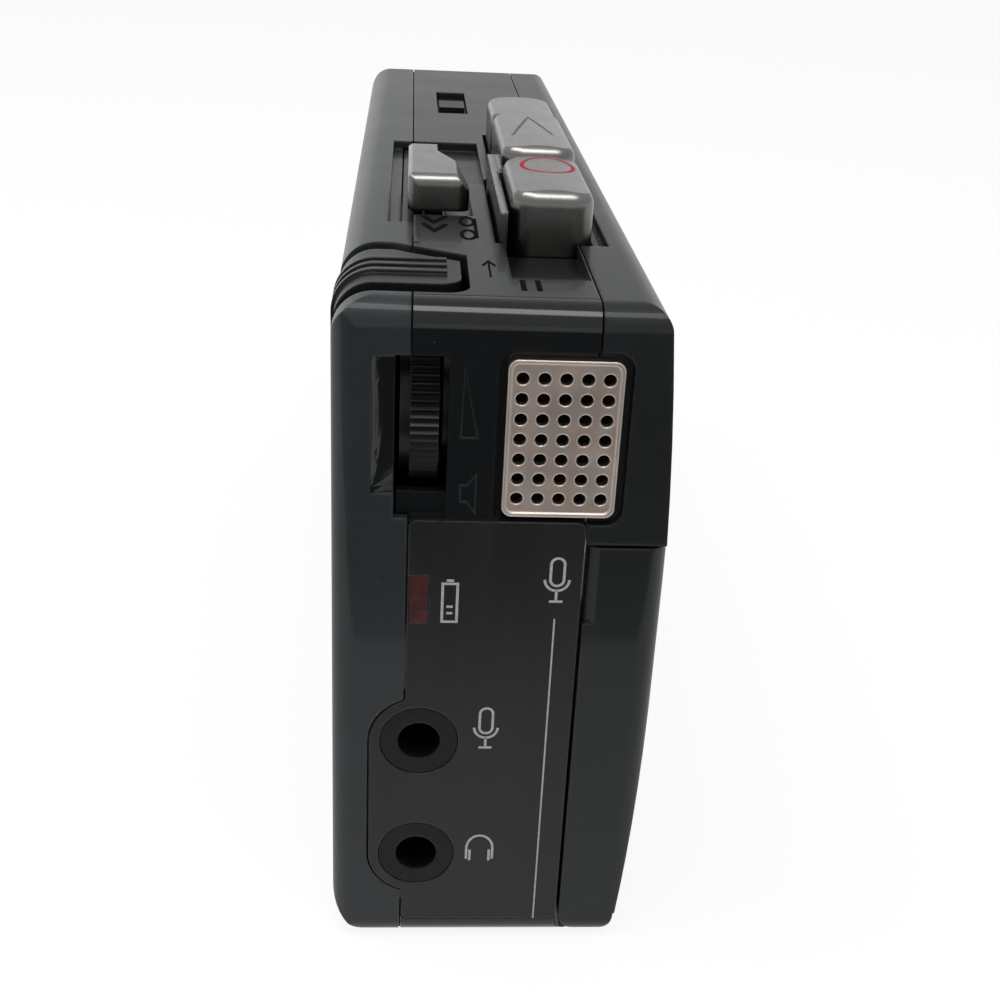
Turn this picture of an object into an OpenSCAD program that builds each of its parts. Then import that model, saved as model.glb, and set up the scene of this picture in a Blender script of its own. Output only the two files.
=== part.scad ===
// Handheld microcassette recorder, lying on its long side with the controls on top.
// Every piece is drawn in the case frame: x from the back face towards the cassette lid,
// y from the jack end towards the far end, z from the underside towards the controls.

/* [Case] */
// Length of the case from the jack end to the far end
body_l = 118; // [116:0.5:126]
// Height of the case from the underside to the control side
body_w = 60; // [59:0.5:66]
// Thickness of the case at the crown of its front
body_t = 27; // [26.8:0.1:29]
// Radius of the crown across the front
crown_r = 270; // [220:10:400]
// Height of the crown's peak above the middle of the front
crown_up = 1; // [0:0.25:2]
// Wall of the mouldings
wall = 1.8; // [1.6:0.05:1.9]
// Gap left along each parting
seam = 0.15; // [0.1:0.05:0.25]
// Depth of the rear cabinet up to its parting
rear_depth = 6.1; // [5.9:0.1:6.6]
// Depth of the front cabinet down to its parting
front_depth = 6.7; // [6.5:0.1:7]
// Radius of the edges round both ends
end_r = 2; // [1.9:0.1:2.4]
// Radius of the edge between back and underside
back_low_r = 5; // [4:0.25:5.5]
// Radius of the edge between back and control side
back_top_r = 3.2; // [2.5:0.1:3.6]
// Radius of the edge between front and control side
front_top_r = 2; // [1.5:0.1:2.5]
// Length of the end panel's lip over the control side
panel_lip = 2.1; // [1.9:0.1:2.4]

/* [Screws] */
// Radius of a case screw's shank
screw_r = 1; // [0.8:0.05:1.1]
// Radius of a case screw's head
screw_head_r = 1.9; // [1.6:0.1:2]
// Height of a case screw's head
screw_head_h = 1.1; // [0.8:0.1:1.2]
// Radius of the boss round each screw
boss_r = 2.7; // [2.5:0.1:3]
// Length of the posts that the screws bite into
post_l = 5.8; // [5:0.2:6.5]

/* [Jacks] */
// Radius of the hole that takes a plug
jack_r = 1.8; // [1.75:0.05:1.9]
// Radius of the collar round the hole
jack_collar_r = 3.3; // [3:0.1:3.5]
// Length of a jack
jack_l = 13.9; // [12:0.5:15]
// Distance of the jacks inside the rear parting
jack_in = 1.3; // [1:0.1:1.6]
// Height of the microphone jack
mic_jack_z = 21.5; // [20.5:0.25:24]
// Height of the earphone jack
ear_jack_z = 9.6; // [9.4:0.1:10.5]
// Margin of the end panel round the collars
jack_margin = 0.9; // [0.7:0.1:1.1]

/* [End panel] */
// Gap between the printed end plate and the microphone grille
plate_gap = 0.5; // [0.3:0.05:0.9]
// Height of the printed end plate's lower edge
plate_low = 2.2; // [2.1:0.1:3]
// Thickness of the printed end plate
plate_t = 0.5; // [0.4:0.05:0.7]
// Width of the battery lamp's lens
lamp_w = 1.5; // [1.2:0.1:1.8]
// Height of the battery lamp's lens
lamp_h = 4.2; // [3.5:0.1:4.5]
// Distance of the lens's lower edge below the end plate's top
lamp_drop = 9.2; // [8:0.1:11]
// Depth of the battery lamp
lamp_l = 3.6; // [3:0.2:5]

/* [Microphone] */
// Width of the microphone grille
grille_w = 8.9; // [8.6:0.1:9.2]
// Height of the microphone grille
grille_h = 13; // [12.8:0.1:13.2]
// Distance of the grille's middle behind the front parting
grille_in = 2.45; // [2.3:0.05:2.6]
// Distance of the grille's middle below the control side
grille_drop = 10.7; // [10.5:0.1:10.8]
// Thickness of the grille
grille_t = 0.9; // [0.7:0.05:1]
// Gap of the groove round the grille
grille_gap = 0.7; // [0.5:0.05:0.75]
// Radius of a grille hole
grille_hole_r = 0.5; // [0.4:0.05:0.6]
// Pitch of the grille holes
grille_pitch = 1.66; // [1.5:0.02:1.7]
// Radius of the microphone capsule
capsule_r = 4.4; // [4:0.1:4.6]
// Length of the microphone capsule
capsule_l = 6; // [4:0.5:6.5]

/* [Volume wheel] */
// Radius of the volume wheel
wheel_r = 6.8; // [6.5:0.05:6.9]
// Width of the wheel's knurled rim
wheel_rim_w = 2.2; // [2:0.1:2.3]
// Width of the wheel's smooth flange
wheel_flange_w = 0.8; // [0.6:0.1:0.9]
// Number of knurls round the rim
knurls = 64; // [48:2:72]
// Depth of a knurl
knurl_h = 0.35; // [0.25:0.05:0.45]
// Distance of the wheel's middle below the control side
wheel_drop = 9.8; // [9.7:0.05:9.9]
// Depth of the wheel's rim below the end face
wheel_set = 0.15; // [0.1:0.05:0.3]
// Gap at each side of the wheel in its window
wheel_gap = 0.4; // [0.35:0.05:0.45]
// Height of the wheel's window
window_h = 11.5; // [11:0.1:11.6]
// Radius of the wheel's spindle
wheel_pin_r = 1.5; // [1.2:0.1:1.8]
// Radius of the volume control's body
pot_r = 5; // [4.5:0.1:5.3]
// Thickness of the volume control's body
pot_t = 2.5; // [2:0.1:3]

/* [Keys] */
// Width of the keys
key_w = 7.1; // [6.8:0.1:7.2]
// Distance that the keys reach past the front parting
key_over = 1.2; // [0.8:0.1:1.2]
// Start of the row of keys from the jack end
key_start = 18; // [17.9:0.1:18.4]
// Length of the record key
record_l = 15.7; // [15:0.1:16.2]
// Length of the play key
play_l = 19.4; // [18.6:0.1:20]
// Length of the stop key
stop_l = 12; // [11:0.1:13]
// Gap between keys
key_gap = 0.5; // [0.4:0.05:0.6]
// Height of the record key over the control side
record_rise = 4.4; // [4:0.1:4.8]
// Height of the play key over the control side
play_rise = 5; // [4.6:0.1:5.4]
// Height of the stop key over the control side
stop_rise = 4.6; // [4.2:0.1:5]
// Travel of a key
key_travel = 3; // [2.5:0.1:3]
// Gap round the keys in the control side
key_clear = 0.35; // [0.3:0.05:0.4]
// Width of the play key's arm beside the record key
arm_w = 0.65; // [0.5:0.05:0.8]
// Length of the play key that carries its arm
arm_root = 8; // [4:0.5:12]
// Height of that arm over the control side
arm_rise = 2.6; // [2.2:0.1:3]
// Radius of a key's top edges
key_edge_r = 1.3; // [0.9:0.1:1.5]
// Radius of the crown across a key
key_crown_r = 16; // [14:1:40]
// Radius of a key's upright corners
key_corner_r = 1.9; // [1.5:0.1:2.2]
// Length of the play key's stem under its flange
stem_l = 6.2; // [5.6:0.1:6.6]
// Depth of the step round the row of keys
channel_depth = 0.8; // [0.6:0.1:0.9]
// Width of that step on the front side
channel_step = 1.3; // [1.1:0.1:1.4]

/* [Levers] */
// Height of the cue and review knob over the control side
cue_rise = 3.4; // [3:0.1:3.8]
// Length of the cue and review knob
cue_l = 15; // [14:0.2:15.6]
// Width of the cue and review knob
cue_w = 5.6; // [5.2:0.1:5.8]
// Distance of the knob's near end from the jack end
cue_start = 28; // [27.8:0.1:29]
// Travel of the knob each way
cue_travel = 4; // [3:0.25:4]
// Depth of the well round the knob
cue_depth = 1; // [0.8:0.1:1.1]
// Width of the pause slider's tongue on the control side
pause_w = 9.9; // [9.5:0.1:10]
// Start of the pause slider from the jack end
pause_start = 5.1; // [5:0.1:5.4]
// Length of the pause slider at the back
pause_l = 9.5; // [9.2:0.1:9.6]
// Travel of the pause slider
pause_travel = 2; // [1.5:0.1:2]
// Height of the pause slider's ribs
rib_h = 0.3; // [0.2:0.05:0.4]
// Reach of the pause slider down the back
pause_reach = 6; // [5:0.25:6.5]
// Length of the speed switch's recess
speed_l = 16; // [15:0.5:17]
// Width of the speed switch's recess
speed_w = 3.8; // [3.4:0.1:4]
// Depth of the speed switch's body
speed_body_h = 5.5; // [4:0.25:6]
// Travel of the speed switch
speed_travel = 3; // [2:0.25:3.5]

/* [Cassette bay] */
// Length of the cassette
cas_l = 50; // [49.6:0.1:50.4]
// Height of the cassette
cas_h = 33; // [32.8:0.1:33.2]
// Height of the cassette's seat above the underside
cas_z = 3.9; // [3.8:0.1:4.1]
// Distance of the cassette's middle from the jack end
cas_mid = 31.5; // [31:0.1:32]
// Distance of the lid's top from the control side
lid_drop = 19.9; // [19.7:0.05:20.2]
// Length of the cassette lid
lid_l = 66.1; // [65.6:0.1:66.6]
// Gap along the lid's free edges
lid_gap = 0.3; // [0.25:0.05:0.4]
// Wall of the lid's front
lid_wall = 1.3; // [1.1:0.05:1.5]
// Height that the lid stands proud of the front cabinet
lid_proud = 0.15; // [0:0.05:0.3]
// Radius of the lid's rounded hinge edge
barrel_r = 2.7; // [2.5:0.05:2.8]
// Radius of the lid's hinge pins
pin_r = 0.8; // [0.7:0.05:0.9]
// Length of the lid's window
glass_l = 34; // [30:1:38]
// Height of the lid's window
glass_h = 19; // [16:0.5:21]
// Height of the window's lower edge
glass_z = 12; // [10:0.5:14]

/* [Mechanism] */
// Distance of the mechanism plate behind the front parting
deck_in = 3.9; // [3.8:0.05:4]
// Thickness of the mechanism plate
deck_t = 1; // [0.8:0.05:1.1]
// Distance between the two reel spindles
reel_pitch = 22.2; // [21.8:0.1:22.6]
// Radius of a spindle's shaft
spindle_r = 1.2; // [1:0.05:1.4]
// Radius of a spindle's splined head
spindle_head_r = 2.4; // [2.1:0.1:2.6]
// Height of a spindle over the plate
spindle_h = 5.6; // [5:0.1:6]
// Module of the reel gears
gear_m = 0.5; // [0.48:0.01:0.51]
// Teeth on the capstan's pinion
pinion_teeth = 12; // [11:1:13]
// Teeth on a reel gear
reel_teeth = 38; // [36:1:40]
// Thickness of the gears
gear_t = 1.6; // [1.2:0.1:1.8]
// Radius of the capstan
capstan_r = 0.75; // [0.6:0.05:0.9]
// Distance of the capstan below the cassette's top edge
capstan_drop = 3.9; // [3.7:0.05:4.1]
// Radius of the flywheel
fly_r = 10; // [9:0.1:10.2]
// Thickness of the flywheel
fly_t = 3.2; // [2.8:0.1:3.4]
// Radius of the motor
motor_r = 8.5; // [8:0.1:8.6]
// Length of the motor
motor_l = 7; // [6.5:0.1:7]
// Distance of the motor's axis beyond the capstan
motor_out = 10.5; // [10.2:0.1:10.8]
// Distance of the motor's axis below the control side's inner face
motor_drop = 11.7; // [11.2:0.1:12.2]
// Distance of the motor's posts from its axis, each way
motor_post = 4; // [3.5:0.1:4.5]
// Radius of a motor post
motor_post_r = 1.4; // [1:0.1:1.6]
// Radius of the motor's pulley in its groove
pulley_r = 2; // [1.6:0.1:2.4]
// Thickness of the drive belt
belt_t = 0.8; // [0.6:0.05:0.9]
// Radius of the pinch roller
roller_r = 3.2; // [3:0.05:3.3]
// Running clearance of the shafts
run_gap = 0.05; // [0.03:0.01:0.08]
// Gap between the parts that slide past each other
slide_gap = 0.3; // [0.25:0.05:0.35]

/* [Battery bay] */
// Diameter of a cell
cell_d = 14.5; // [14.2:0.1:14.6]
// Rim of the battery door round the bay
door_rim = 0.6; // [0.4:0.05:0.7]
// Wall of the battery box
box_wall = 1.1; // [0.9:0.05:1.2]
// Thickness of the contact plates
contact_t = 0.4; // [0.3:0.05:0.5]
// Height of the battery door's lower edge
door_z = 5.3; // [5.2:0.1:5.8]
// Height of the battery door
door_h = 31.4; // [31:0.1:32]
// Reach of the door's tongues into the rear cabinet
tongue = 0.8; // [0.6:0.05:1]
// Thickness of the door's tongues
tongue_t = 0.8; // [0.7:0.05:0.9]

/* [Speaker and counter] */
// Radius of the speaker
speaker_r = 15; // [14:0.25:15.5]
// Height of the speaker's rim
speaker_rim_h = 2.2; // [1.8:0.1:2.6]
// Height of the speaker's middle
speaker_z = 21; // [20.5:0.25:21.5]
// Number of sound slots
slots = 9; // [7:2:9]
// Width of a sound slot
slot_w = 1.4; // [1:0.1:1.6]
// Pitch of the sound slots
slot_pitch = 3; // [2.6:0.1:3.2]
// Radius of the counter's wheels
counter_r = 4.2; // [3.8:0.1:4.3]
// Width of a counter wheel
counter_w = 2.4; // [2:0.1:2.6]
// Distance of the counter's middle from the far end
counter_in = 38; // [36:0.5:40]
// Distance of the counter's middle below the control side
counter_drop = 12; // [11.5:0.25:12.5]
// Radius of the counter's reset button
reset_r = 1.8; // [1.5:0.1:2]
// Travel of the reset button
reset_travel = 1.2; // [0.8:0.1:1.4]

/* [Hidden] */
$fn = 64;

// Cut that reaches well past a face
past = 5;
// Overlap that fuses two forms of one piece
fuse = 0.1;
// Gap between fixed pieces that seat on each other
fit = 0.05;
plastic = [0.13, 0.14, 0.15];
dark = [0.06, 0.06, 0.07];
plated = [0.74, 0.73, 0.7];
steel = [0.62, 0.63, 0.65];
brass = [0.72, 0.58, 0.3];

// Places of the partings and of the inner faces
rear_x = rear_depth;
front_x = body_t - front_depth;
crown_z = body_w / 2 + crown_up;
top_in = body_w - wall;
far_in = body_l - wall;
centre_x = (body_t + lid_proud - rib_h) / 2;

// Hinge line of the lid, at the middle of its rounded edge
hinge_z = barrel_r;
hinge_x = crown_x(hinge_z, 0) - barrel_r;

// Mechanism plate, cassette and heads
deck_x1 = front_x - deck_in;
deck_x0 = deck_x1 - deck_t;
cas_top = cas_z + cas_h;
supply_y = cas_mid - reel_pitch / 2;
take_up_y = cas_mid + reel_pitch / 2;
capstan_out = 1;
capstan_y = take_up_y + capstan_out;
capstan_z = cas_top - capstan_drop;
mesh_d = gear_m * (pinion_teeth + reel_teeth) / 2;
reel_z = capstan_z - sqrt(mesh_d * mesh_d - capstan_out * capstan_out);
mesh_angle = atan2(reel_z - capstan_z, take_up_y - capstan_y);
gear_x1 = deck_x0 - 2 * slide_gap;
gear_x0 = gear_x1 - gear_t;
fly_x1 = gear_x0 - 2 * slide_gap;
fly_x0 = fly_x1 - fly_t;
belt_x = (fly_x0 + fly_x1) / 2;
groove_h = 0.5;
groove_w = 1.3;
belt_w = 1;
motor_y = capstan_y + motor_out;
motor_z = top_in - motor_drop;
deck_y1 = motor_y + motor_r - slide_gap + fit;
motor_x1 = fly_x0 - slide_gap;
carriage_x0 = deck_x1 + slide_gap;
carriage_t = 1;
carriage_x1 = carriage_x0 + carriage_t;
carriage_z0 = cas_top + key_travel + 0.2;
carriage_near = 14.5;
carriage_far = 20.5;
carriage_y0 = cas_mid - carriage_near;
carriage_y1 = cas_mid + carriage_far;
roller_z = capstan_z + capstan_r + roller_r + key_travel + fit;
roller_pin_r = 0.7;
push_t = 1.2;
push_half = 2;
roller_pin_l = 6.2;

// Row of keys
key_x1 = front_x + key_over;
key_x0 = key_x1 - key_w;
arm_x0 = key_x0 - slide_gap - arm_w;
record_y = key_start;
play_y = record_y + record_l + key_gap;
stop_y = play_y + play_l + key_gap;
keys_end = stop_y + stop_l;
flange_t = 1.2;
flange_over = 0.7;
flange_z1 = top_in - slide_gap;
push_z = flange_z1 - flange_t - stem_l - slide_gap;
carriage_h = push_z - push_t - carriage_z0;
stem_x0 = key_x0 + 3.9;
stem_t = 2.2;
stem_w = 4;

// Volume wheel
wheel_y = wheel_set + wheel_r;
wheel_z = body_w - wheel_drop;
wheel_x0 = rear_x - wheel_flange_w;
wheel_x1 = rear_x + wheel_rim_w;

// Jacks and grille
jack_x = rear_x + jack_in;
grille_x = front_x - grille_in;
grille_z = body_w - grille_drop;
lid_h = body_w - lid_drop;
lug_t = 2.8;
lap = 1;
plate_top = grille_z - grille_h / 2 - plate_gap;
lamp_z = plate_top - lamp_drop;

// Cue lever, pause slider and speed switch
cue_x0 = rear_x - 0.5;
cue_well_x0 = cue_x0 - 1.7;
cue_well_x1 = cue_x0 + cue_w + 2;
cue_well_y0 = cue_start - 1.1;
cue_well_y1 = cue_start + 2.2 * cue_l;
cue_well_mid = cue_start + 0.8 * cue_l;
cue_step = 2.8;
cue_side = 0.3;
cue_stem_x0 = cue_x0 + 1.7;
cue_stem_w = 1.6;
cue_stem_l = 3;
cue_mid = cue_start + cue_l / 2;
cue_reach = cue_stem_l / 2 + cue_travel + slide_gap;
speed_x0 = rear_x + 3;
speed_back = 38;
speed_y0 = body_l - speed_back;
speed_depth = 1.1;
speed_knob_l = 5;
speed_knob_y = speed_y0 + 5;

// Battery box and door
bay_z0 = door_z + door_rim;
bay_z1 = door_z + door_h - door_rim;
box_x0 = wall + slide_gap;
bay_x1 = box_x0 + cell_d;
box_y1 = far_in - fit;
bay_y1 = box_y1 - box_wall;
box_y0 = deck_y1 + slide_gap;
bay_y0 = box_y0 + box_wall;
door_y0 = box_y0 - 0.6;

// Screws, as the y and z of each
screw_places = [[17, 7], [57, 7], [21, body_w - 7], [body_l - 6, body_w - 10]];
head_sink = 0.9;

// Speaker and counter
speaker_y = (lid_l + body_l) / 2;
speaker_x1 = crown_x(speaker_z - speaker_r, wall) - slide_gap;
cone_h = 1.2;
cone_seat = 1.4;
speaker_x0 = bay_x1 + box_wall + slide_gap;
counter_y = body_l - counter_in;
counter_z = body_w - counter_drop;
counter_x = crown_x(counter_z + counter_r, wall) - counter_r - slide_gap;
counter_gap = 0.2;
counter_span = 3 * counter_w + 4 * counter_gap;
cheek_t = 1;
counter_axle_r = 0.6;
reset_y = counter_y + 9.5;

// Front face of the crowned case at height z, set in by g
function crown_x(z, g) = body_t - g - crown_r + sqrt(crown_r * crown_r - (z - crown_z) * (z - crown_z));

// Points of a spur gear with straight-sided teeth
function gear_points(teeth, m) = [
    for (i = [0 : teeth - 1], k = [0 : 3])
        let (a = 360 * i / teeth + [-115, -26, 26, 115][k] / teeth,
             r = m * teeth / 2 + m * [-1.15, 0.8, 0.8, -1.15][k])
            [r * cos(a), r * sin(a)]
];

// Points of a knurled rim
function knurl_points(count, r, h) = [
    for (i = [0 : 2 * count - 1])
        let (a = 180 * i / count, q = r - h * (i % 2))
            [q * cos(a), q * sin(a)]
];

// Moves a piece from the case frame to the part's own frame
module place() {
    translate([-centre_x, -body_l / 2, 0]) children();
}

// Box given by its two corners
module block(low, high) {
    translate(low) cube(high - low);
}

// Cylinder along x
module rod_x(x0, x1, y, z, r) {
    translate([x0, y, z]) rotate([0, 90, 0]) cylinder(h = x1 - x0, r = r);
}

// Cylinder along y
module rod_y(y0, y1, x, z, r) {
    translate([x, y0, z]) rotate([-90, 0, 0]) cylinder(h = y1 - y0, r = r);
}

// Outline in y and z, drawn as a plate along x
module plate_x(x0, x1) {
    translate([x0, 0, 0]) rotate([90, 0, 90]) linear_extrude(x1 - x0) children();
}

// Outline in x and z, drawn as a plate along y
module plate_y(y0, y1) {
    translate([0, y1, 0]) rotate([90, 0, 0]) linear_extrude(y1 - y0) children();
}

// What a corner of radius r loses, with its middle at c and facing the signs s
module corner_cut(c, r, s) {
    translate(c) difference() {
        translate([s.x > 0 ? 0 : -r - past, s.y > 0 ? 0 : -r - past]) square(r + past);
        circle(r);
    }
}

// Rectangle with four corners of radius r
module round_rect(low, high, r) {
    difference() {
        translate(low) square(high - low);
        corner_cut([low.x + r, low.y + r], r, [-1, -1]);
        corner_cut([high.x - r, low.y + r], r, [1, -1]);
        corner_cut([low.x + r, high.y - r], r, [-1, 1]);
        corner_cut([high.x - r, high.y - r], r, [1, 1]);
    }
}

// Section of the case across its length, set in by g and proud by p at the front
module case_section(g, p) {
    low_r = back_low_r - g;
    top_r = back_top_r - g;
    edge_r = max(front_top_r - g, 0.3);
    hinge_r = barrel_r - g;
    edge_x = crown_x(body_w - front_top_r, 0) - front_top_r;
    intersection() {
        difference() {
            translate([g, g]) square([body_t + p - g, body_w - 2 * g]);
            corner_cut([back_low_r, back_low_r], low_r, [-1, -1]);
            corner_cut([back_top_r, body_w - back_top_r], top_r, [-1, 1]);
            corner_cut([edge_x, body_w - front_top_r], edge_r, [1, 1]);
            corner_cut([hinge_x, hinge_z], hinge_r, [1, -1]);
        }
        translate([body_t + p - g - crown_r, crown_z]) circle(crown_r, $fn = 720);
    }
}

// The whole case as one solid, set in by g and proud by p at the front
module case_solid(g = 0, p = 0) {
    r = max(end_r - g, 0.2);
    intersection() {
        plate_y(g, body_l - g) case_section(g, p);
        plate_x(-past, body_t + past) round_rect([g, g], [body_l - g, body_w - g], r);
        linear_extrude(body_w + past) round_rect([g, g], [body_t + p - g, body_l - g], r);
    }
}

// Hollow shell of the case between two planes across x
module case_shell(x0, x1) {
    difference() {
        intersection() {
            case_solid();
            block([x0, -past, -past], [x1, body_l + past, body_w + past]);
        }
        case_solid(wall);
    }
}

// Tongue along the rear parting, in the inner half of the wall, grown by g
module parting_tongue(g) {
    difference() {
        intersection() {
            case_solid((wall + seam) / 2 - g);
            block([rear_x - lap - g, -past, -past], [rear_x + seam, body_l + past, body_w + past]);
        }
        case_solid(wall + g);
    }
}

// Outline of the end panel's bulge round the jacks, grown by g
module jack_bulge(g) {
    r = jack_collar_r + jack_margin + g;
    translate([jack_x, mic_jack_z]) circle(r);
    translate([jack_x, ear_jack_z]) circle(r);
    translate([jack_x - r, ear_jack_z]) square([2 * r, mic_jack_z - ear_jack_z]);
}

// Window of the volume wheel, from the end face inwards
module wheel_window() {
    block([wheel_x0 - wheel_gap, -past, wheel_z - window_h / 2],
          [wheel_x1 + wheel_gap + 0.3, 2 * wall, wheel_z + window_h / 2]);
    block([wheel_x0 - wheel_gap, -past, wheel_z - window_h / 2 - 2],
          [wheel_x1 + wheel_gap + 0.3, wall / 2, wheel_z]);
}

// Finger scoop beside the wheel, a ramp that deepens towards it
module wheel_scoop() {
    scoop_w = 1.9;
    scoop_h = 11.2;
    scoop_d = 1.1;
    x1 = wheel_x0 - wheel_gap + fuse;
    translate([0, 0, wheel_z - scoop_h / 2])
        linear_extrude(scoop_h)
            polygon([[x1 - scoop_w, 0], [x1 - scoop_w, -past], [x1, -past], [x1, scoop_d],
                     [x1 - 0.7 * scoop_w, scoop_d / 2]]);
}

// Groove and sound hole behind the microphone grille
module grille_recess() {
    w = grille_w / 2 + grille_gap;
    h = grille_h / 2 + grille_gap;
    plate_y(-past, grille_t + fit)
        round_rect([grille_x - w, grille_z - h], [grille_x + w, grille_z + h], 1.4);
    rod_y(0, 2 * wall, grille_x, grille_z, capsule_r + fit);
}

// Stepped channel that the keys stand in
module key_channel() {
    block([arm_x0 - key_clear, record_y - key_clear, top_in - past],
          [key_x0, play_y + arm_root + key_clear, body_w + past]);
    block([key_x0 - key_clear, record_y - key_clear, top_in - past],
          [key_x1 + key_clear, keys_end + key_clear, body_w + past]);
    block([key_x0, record_y - key_clear, body_w - channel_depth],
          [key_x1 + channel_step, keys_end + key_clear, body_w + past]);
}

// Well round the cue and review knob
module cue_well() {
    block([cue_well_x0, cue_well_y0, body_w - cue_depth],
          [cue_x0 + cue_w + cue_side, cue_well_mid + fuse, body_w + past]);
    block([cue_well_x0, cue_well_mid, body_w - cue_depth], [cue_well_x1, cue_well_y1, body_w + past]);
    block([cue_well_x0, cue_start - cue_travel, body_w - cue_depth],
          [rear_x, cue_well_y0 + past, body_w + past]);
}

// Outline of the pause slider's tongue, grown at its near side, far side and end
module tongue_outline(near, far, end) {
    y0 = pause_start - near;
    y1 = pause_start + pause_l + far;
    x1 = pause_w + end;
    r = 1.8;
    difference() {
        translate([-past, y0]) square([x1 + past, y1 - y0]);
        translate([pause_w - 5.4, y1]) rotate(-29) square([2 * past, past]);
        corner_cut([x1 - r, y0 + r], r, [1, -1]);
    }
}

// Opening that the pause slider moves in
module pause_opening() {
    translate([0, 0, body_w - pause_reach - slide_gap])
        linear_extrude(2 * past) tongue_outline(pause_travel + slide_gap, pause_travel + slide_gap, 0.6);
}

// Recess of the speed switch with its slot
module speed_recess() {
    block([speed_x0, speed_y0, body_w - speed_depth],
          [speed_x0 + speed_w, speed_y0 + speed_l, body_w + past]);
    block([speed_x0 + 1.2, speed_knob_y - slide_gap, top_in - past],
          [speed_x0 + speed_w - 1.2, speed_knob_y + speed_knob_l + speed_travel + slide_gap, body_w]);
}

// Opening of the battery door, with grooves for its tongues
module door_opening() {
    block([-past, door_y0 - seam, door_z - seam], [wall + fit, body_l + past, door_z + door_h + seam]);
    block([wall - tongue_t - seam, door_y0 - seam, door_z - tongue - seam],
          [wall + slide_gap - fit, body_l + past, door_z + door_h + tongue + seam]);
}

// Rear shell with its screw bosses, openings and the battery door's grooves
module rear_cabinet() {
    x1 = rear_x - seam / 2;
    color(plastic) place() difference() {
        union() {
            case_shell(-past, x1);
            for (s = screw_places) rod_x(wall - fuse, x1, s.x, s.y, boss_r);
        }
        for (s = screw_places) {
            rod_x(-past, head_sink + screw_head_h, s.x, s.y, screw_head_r + 2 * fit);
            rod_x(0, rear_x, s.x, s.y, screw_r + 2 * fit);
        }
        parting_tongue(seam);
        plate_y(-past, wall + fuse) jack_bulge(seam);
        wheel_window();
        wheel_scoop();
        cue_well();
        pause_opening();
        door_opening();
    }
}

// Front shell with the sound slots, the counter's window and the lid's opening
module front_cabinet() {
    slot_l = 2 * speaker_r - 6;
    pin_block = 3.6;
    color(plastic) place() difference() {
        union() {
            difference() {
                case_shell(front_x + seam / 2, body_t + past);
                block([front_x - past, -past, -past], [body_t + past, lid_l + lid_gap, lid_h + lid_gap]);
            }
            intersection() {
                case_solid();
                block([front_x + seam / 2, lid_l + lid_gap, 0],
                      [body_t, lid_l + lid_gap + pin_block, 2 * barrel_r]);
            }
        }
        rod_y(lid_l, lid_l + lid_gap + pin_block - 0.6, hinge_x, hinge_z, pin_r + fit / 2);
        for (i = [0 : slots - 1])
            block([body_t - 2 * wall - 2, speaker_y + (i - (slots - 1) / 2) * slot_pitch - slot_w / 2,
                   speaker_z - slot_l / 2],
                  [body_t + past, speaker_y + (i - (slots - 1) / 2) * slot_pitch + slot_w / 2,
                   speaker_z + slot_l / 2]);
        counter_opening(fit);
        rod_x(front_x + 2, body_t + past, reset_y, counter_z, reset_r + slide_gap);
        grille_recess();
        key_channel();
    }
}

// Opening of the counter's window, grown by g
module counter_opening(g) {
    block([front_x + 3, counter_y - counter_span / 2 - g, counter_z - 2.6 - g],
          [body_t + past, counter_y + counter_span / 2 + g, counter_z + 2.6 + g]);
}

// Middle of the jack end, with the lip over the control side and the bulge round the jacks
module end_panel() {
    color(plastic) place() difference() {
        union() {
            intersection() {
                union() {
                    case_shell(rear_x + seam / 2, front_x - seam / 2);
                    parting_tongue(0);
                }
                block([0, -past, -past], [body_t, panel_lip, body_w + past]);
            }
            plate_y(0, wall) jack_bulge(0);
        }
        plate_y(-past, plate_t) end_plate_outline(fit);
        for (z = [mic_jack_z, ear_jack_z]) rod_y(-past, 2 * wall, jack_x, z, jack_collar_r + fit);
        lamp_block(fit);
        wheel_window();
        grille_recess();
    }
}

// Outline of the printed end plate, grown by g
module end_plate_outline(g) {
    x0 = rear_x + seam / 2 - g;
    x1 = front_x - seam / 2 + g;
    round_rect([x0, plate_low - g], [x1, plate_top + g], 0.6);
    jack_bulge(g);
}

// Lens and body of the battery lamp, grown by g
module lamp_block(g) {
    x0 = rear_x + 0.25;
    block([x0 - g, -g, lamp_z - g], [x0 + lamp_w + g, lamp_l, lamp_z + lamp_h + g]);
}

// Thin printed plate let into the jack end
module end_plate() {
    color([0.2, 0.19, 0.18]) place() difference() {
        plate_y(0, plate_t) end_plate_outline(0);
        for (z = [mic_jack_z, ear_jack_z]) rod_y(-past, past, jack_x, z, jack_collar_r + fit);
        lamp_block(fit);
    }
}

// Control side with the key channel, the wells of the levers and two screw posts
module control_panel() {
    x0 = rear_x + seam / 2;
    scoop_l = 11;
    scoop_d = 1.2;
    scoop_r = (scoop_l * scoop_l + scoop_d * scoop_d) / (2 * scoop_d);
    color(plastic) place() difference() {
        union() {
            intersection() {
                union() {
                    case_shell(x0, front_x - seam / 2);
                    parting_tongue(0);
                }
                block([0, panel_lip + seam, top_in], [body_t, body_l + past, body_w + past]);
            }
            for (s = [screw_places[2], screw_places[3]])
                block([x0, s.x - boss_r, s.y - boss_r], [x0 + post_l, s.x + boss_r, top_in + fuse]);
        }
        for (s = [screw_places[2], screw_places[3]]) rod_x(0, x0 + post_l - 1, s.x, s.y, screw_r + fit / 2);
        key_channel();
        cue_well();
        block([cue_stem_x0 - slide_gap, cue_mid - cue_reach, top_in - past],
              [cue_stem_x0 + cue_stem_w + slide_gap, cue_mid + cue_reach, body_w]);
        pause_opening();
        speed_recess();
        intersection() {
            rod_x(arm_x0 + 0.4, front_x - 0.2, record_y, body_w - scoop_d + scoop_r, scoop_r, $fn = 360);
            block([0, record_y - scoop_l, body_w - past], [body_t, record_y, body_w + past]);
        }
    }
}

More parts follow.
